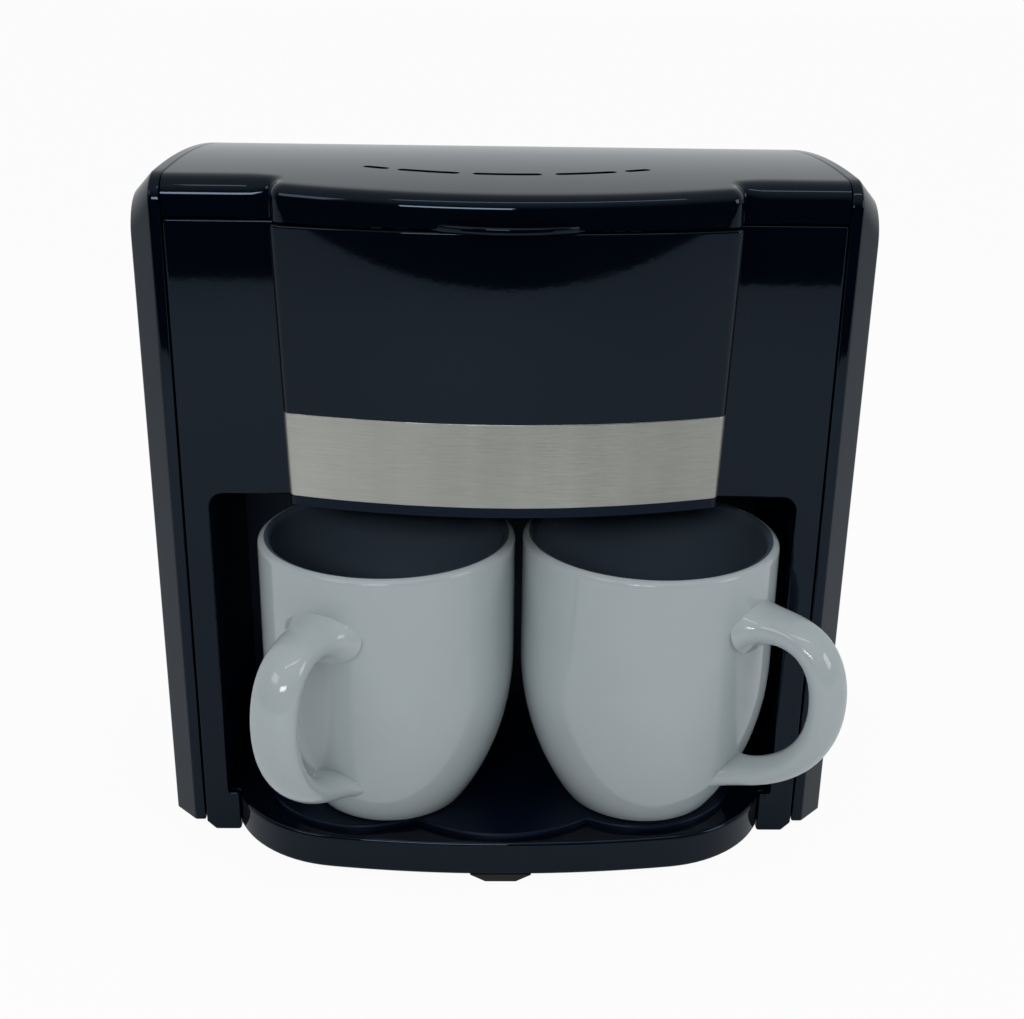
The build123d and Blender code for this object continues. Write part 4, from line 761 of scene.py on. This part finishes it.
rim_half = mug_wall / 2
rim_turn = np.radians(np.linspace(0, 180, 13))
rim_round = rim_half * np.column_stack([np.cos(rim_turn), np.sin(rim_turn)])
lip = rim_round + (mug_radius - rim_half, mug_height - rim_half)
high_run = np.linspace(mug_shoulder, mug_height - rim_drop, 12)[1:]
outer = mug_side(bowl, np.linspace(foot_rise, mug_shoulder, 26), high_run, mug_radius)
inner_run = np.linspace(mug_floor + well_rise, mug_shoulder, 22)
inner = mug_side(bowl - mug_wall, inner_run, high_run, mug_radius - mug_wall)[::-1]
well_corner = (inner[-1, 0] - well_inset, mug_floor)
well = soft_line([inner[-1], well_corner, (axis_gap, mug_floor)], [well_round], steps=7)[1:]
foot = soft_line([
    (axis_gap, foot_hollow), (mug_foot - foot_ring[0], foot_hollow), (mug_foot - foot_ring[1], 0.0),
    (outer[0, 0] - foot_ring[2], 0.0), outer[0],
], [foot_soft] * 3, steps=3, keep=0.1)[:-1]
mug_profile = np.concatenate([foot, outer, lip, inner, well])
grip_top = np.array([(39.0, 71.3), (56.0, 75.5), (66.0, 68.5), (66.0, 52.0)])
grip_low = np.array([(66.0, 52.0), (66.0, 35.0), (54.0, 21.5), (32.3, 17.6)])
flare_top, flare_low = (0.95, 4.2), (0.6, 5.0)
grip_wide, grip_thick = (6.9, 1.1, 0.9), (4.5, 1.0, 1.1)
rim_up, glaze_past, glaze_below = 0.7, 0.2, 0.5


def bezier(points, share):
    """Cubic curve of four points: each point weighted by its share of the way."""
    left = 1 - share
    weights = np.stack([left**3, 3 * share * left**2, 3 * share**2 * left, share**3], axis=-1)
    return weights @ points


def swelling(along, size):
    """A size with a sine swell in the middle of the way and an even loss along it."""
    start, swell, loss = size
    return start + swell * np.sin(np.pi * along) - loss * along


def handle_mesh(name, centre, angle):
    """Handle: an oval carried along two cubic curves, flaring by a falling exponential from each end."""
    share = np.linspace(0, 1, 33)
    path = np.concatenate([bezier(grip_top, share), bezier(grip_low, share)[1:]])
    ahead = unit(np.gradient(path, axis=0))
    length = np.concatenate([[0], np.cumsum(np.hypot(*np.diff(path, axis=0).T))])
    along, to_go = length / length[-1], length[-1] - length
    flare = 1 + flare_top[0] * np.exp(-length / flare_top[1]) + flare_low[0] * np.exp(-to_go / flare_low[1])
    oval = np.linspace(0, 2 * np.pi, 41)[:-1]
    across = (flare * swelling(along, grip_wide))[:, None] * np.sin(oval)
    thick = (flare * swelling(along, grip_thick))[:, None] * np.cos(oval)
    radial = path[:, :1] - thick * ahead[:, 1:]
    height = path[:, 1:] + thick * ahead[:, :1]
    turn = radians(angle)
    x = radial * np.sin(turn) + across * np.cos(turn)
    y = across * np.sin(turn) - radial * np.cos(turn)
    return skin(name + "_handle", np.stack([x, y, height], axis=-1) + centre)


def mug_mesh(name, centre_x, angle):
    """Body of revolution with a handle; faces that look inwards from the rim's crest on are charcoal."""
    around = np.linspace(0, 2 * np.pi, 129)[:-1]
    centre = np.array([centre_x, y_front + mug_setback, mug_base])
    reach, height = mug_profile[:, :1], np.repeat(mug_profile[:, 1:], len(around), axis=1)
    mesh = skin(name, np.stack([reach * np.sin(around), -reach * np.cos(around), height], axis=-1) + centre)
    middles, normals = np.zeros((2, len(mesh.polygons) * 3))
    mesh.polygons.foreach_get("center", middles)
    mesh.polygons.foreach_get("normal", normals)
    middles, normals = middles.reshape(-1, 3) / MM - centre, normals.reshape(-1, 3)
    reach = np.hypot(middles[:, 0], middles[:, 1])
    facing_in = (np.sum(middles[:, :2] * normals[:, :2], axis=1) < 0) | (normals[:, 2] > rim_up)
    within = (reach < mug_radius - rim_half + glaze_past) & (middles[:, 2] > mug_floor - glaze_below)
    mesh.polygons.foreach_set("material_index", (facing_in & within).astype(np.int32))
    return merged(mesh, handle_mesh(name, centre, angle))


for mug_name, mug_x, mug_angle in (("mug_left", -36.9, -26.0), ("mug_right", 47.0, 50.0)):
    mesh = mug_mesh(mug_name + "_body", mug_x, mug_angle)
    add_piece(mug_name + "_body", mesh, mug_name, "mug_glaze", mug_name, mug_white, mug_charcoal, smooth=50.0)


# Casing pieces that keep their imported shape
# Satin mouldings inside and behind the gloss shells, held by screws and clips.
def dress(material, *names):
    """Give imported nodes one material."""
    for name in names:
        mesh = nodes[name].data
        mesh.materials.clear()
        mesh.materials.append(material)


dress(
    satin_black, "niche_liner", "head_floor", "rear_cover", "bottom_plate", "switch_body", "terminal_block",
    "filter_handle", "filter_frame",
)
# A darker, duller copy of the satin black for the top deck and lid liner; its extra darkness is painted
# shade, so the inside seen through the gap under the lid reads dark.
shaded_inside_black = moulded_finish(
    "shaded_inside_black", ((0.0012, 0.0024, 0.006), (0.002, 0.0034, 0.0075)),
    roughness=0.6, smear=0.12, peel=(2600.0, 0.14), ior=1.2, sheen=black_sheen,
)
dress(shaded_inside_black, "top_deck", "lid_liner")

# Rubber feet and cord gland
# Soft black mouldings with a dull skin, pressed into the base and the rear cover.
rubber = moulded_finish(
    "rubber", ((0.012, 0.012, 0.013), (0.02, 0.02, 0.021)),
    roughness=0.62, smear=0.15, peel=(3200.0, 0.2), ior=1.4,
)
dress(rubber, "front_foot", "rear_feet", "cord_gland")

# Plated steel fasteners and heater sheet
# Zinc-plated screws, pins, clips and bracket, the steel sheath of the element and the valve's ball.
steel = moulded_finish(
    "steel", ((0.55, 0.55, 0.56), (0.42, 0.43, 0.45)),
    roughness=0.28, smear=0.2, peel=(1800.0, 0.06), metallic=1.0,
)
dress(steel, "bracket_screws", "hinge_pins", "hose_clips", "heater_bracket", "heating_element", "check_ball")
screw_head, screw_head_height, screw_radius, screw_length = 3.5, 1.6, 1.5, 8.0
screw_axis, screw_tip, screw_softs = 0.2, (0.5, 0.8), [0.2, 0.2, 0.15, 0.15, 0.9]
cross_long, cross_wide, cross_deep, cross_rise, cross_soft = 2.0, 0.42, 0.9, 1.0, 0.15


def cross_tool(half_x, half_y):
    """One bar of the cross recess."""
    corners = [(-half_x, -half_y), (half_x, -half_y), (half_x, half_y), (-half_x, half_y)]
    bar = soft_line(corners, [cross_soft] * 4, closed=True, steps=2, keep=0.02)
    low, high = screw_head_height - cross_deep, screw_head_height + cross_rise
    return skin("cross_tool", carry(bar, [(0, low), (0, high)]))


def pan_screw():
    """A pan-head screw pointing up: a turned profile with a cross sunk into its head."""
    profile = soft_line([
        (screw_axis, -screw_length), (screw_radius - screw_tip[0], -screw_length),
        (screw_radius, screw_tip[1] - screw_length), (screw_radius, 0), (screw_head, 0),
        (screw_head, screw_head_height), (screw_axis, screw_head_height),
    ], screw_softs, keep=0.1)
    around = np.linspace(0, 2 * np.pi, 37)[:-1]
    reach, height = profile[:, :1], np.repeat(profile[:, 1:], len(around), axis=1)
    turned = skin("pan_screw", np.stack([reach * np.cos(around), reach * np.sin(around), height], axis=-1))
    return cut(cut(turned, cross_tool(cross_long, cross_wide)), cross_tool(cross_wide, cross_long))


def screw_set(name, node, places, turn):
    """Copies of the screw at several places, turned so that their heads face outwards."""
    one = pan_screw()
    shape = bmesh.new()
    for place in places:
        copy = one.copy()
        copy.transform(Matrix.Translation(Vector(place) * MM) @ Matrix.Rotation(radians(turn), 4, "X"))
        shape.from_mesh(copy)
        bpy.data.meshes.remove(copy)
    mesh = bpy.data.meshes.new(name)
    shape.to_mesh(mesh)
    shape.free()
    bpy.data.meshes.remove(one)
    add_piece(name, mesh, "casing", "steel", node, steel)


screw_low, screw_high = (np.array(corner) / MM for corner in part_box("rear_screws"))
rear_seat = screw_high[1] - screw_head_height
rear_places = [
    (x, rear_seat, z)
    for x in (screw_low[0] + screw_head, screw_high[0] - screw_head)
    for z in (screw_low[2] + screw_head, screw_high[2] - screw_head)
]
screw_set("rear_cover_screws", "rear_screws", rear_places, -90)
seat_inset = 14.0
base_seats = ((70.0, seat_inset), (60.0, body_depth - seat_inset))
base_places = [(side * x, y_front + depth, base_bottom) for side in (-1, 1) for x, depth in base_seats]
screw_set("bottom_plate_screws", "base_screws", base_places, 180)

# Water-path mouldings
# Grey polypropylene: tank, valve, nozzle, channel, spray head, funnel and twin spout, with a waxy skin.
grey_plastic = moulded_finish(
    "grey_plastic", ((0.10, 0.11, 0.12), (0.125, 0.135, 0.145)),
    roughness=0.34, smear=0.12, peel=(1500.0, 0.06),
)
dress(
    grey_plastic, "filter_funnel", "twin_spout", "water_tank", "check_valve", "riser_nozzle", "water_channel",
    "spray_head",
)

# Hoses
# Milky silicone tube between valve, heater and nozzle.
silicone = moulded_finish(
    "silicone", ((0.62, 0.61, 0.57), (0.7, 0.69, 0.65)),
    roughness=0.4, smear=0.1, peel=(900.0, 0.05), ior=1.41,
)
dress(silicone, "inlet_hose", "riser_hose")

# Heater casting and thermostat
# Sand-grained cast aluminium with the thermostat's can screwed against it.
cast_aluminium = moulded_finish(
    "cast_aluminium", ((0.5, 0.5, 0.5), (0.36, 0.36, 0.37)),
    roughness=0.5, smear=0.25, peel=(2200.0, 0.35), metallic=1.0,
)
dress(cast_aluminium, "heater_block", "thermostat")


# Filter mesh, fuse sleeve and leads
# A fine nylon net in the filter's frame, a glass-fibre sleeve on the fuse, and coloured wire insulation.
def woven_finish(name, tones, pitch, roughness):
    """Crossed fine threads: the higher of two band patterns picks between two tones and raises them."""
    material, make, link, output = new_material(name)
    body = add_node(make, "BsdfPrincipled", {"Roughness": roughness})
    place = add_node(make, "TexCoord")
    cross = add_node(make, "Math", operation="MAXIMUM")
    for number, direction in enumerate(("Z", "DIAGONAL")):
        wave = add_node(make, "TexWave", {"Scale": pitch, "Distortion": 0.4}, bands_direction=direction)
        link(place.outputs["Object"], wave.inputs["Vector"])
        link(wave.outputs["Fac"], cross.inputs[number])
    tone = two_tone(make, link, tones, cross.outputs[0])
    link(tone.outputs["Result"], body.inputs["Base Color"])
    raised = add_node(make, "Bump", {"Strength": 0.5, "Distance": 0.0003})
    link(cross.outputs[0], raised.inputs["Height"])
    link(raised.outputs[0], body.inputs["Normal"])
    link(body.outputs[0], output.inputs["Surface"])
    return material


filter_nylon = woven_finish(
    "filter_nylon", ((0.16, 0.12, 0.06), (0.55, 0.45, 0.26)), pitch=260.0, roughness=0.55,
)
fuse_sleeve = woven_finish(
    "fuse_sleeve", ((0.5, 0.48, 0.42), (0.78, 0.75, 0.68)), pitch=420.0, roughness=0.7,
)
dress(filter_nylon, "filter_mesh")
dress(fuse_sleeve, "thermal_fuse")
lead_black = moulded_finish(
    "lead_black", ((0.012, 0.012, 0.013), (0.02, 0.02, 0.02)),
    roughness=0.45, smear=0.1, peel=(1500.0, 0.05),
)
lead_white = moulded_finish(
    "lead_white", ((0.62, 0.62, 0.6), (0.7, 0.7, 0.68)),
    roughness=0.45, smear=0.1, peel=(1500.0, 0.05),
)
dress(lead_black, "switch_lead", "return_lead")
dress(lead_white, "element_lead", "thermostat_lead", "fuse_lead")

# Rocker of the switch
# A red gloss rocker on stub pins in the satin switch body.
rocker_red = moulded_finish(
    "rocker_red", ((0.22, 0.008, 0.008), (0.26, 0.012, 0.011)),
    roughness=0.18, smear=0.08, peel=(900.0, 0.03),
)
dress(rocker_red, "switch_rocker")
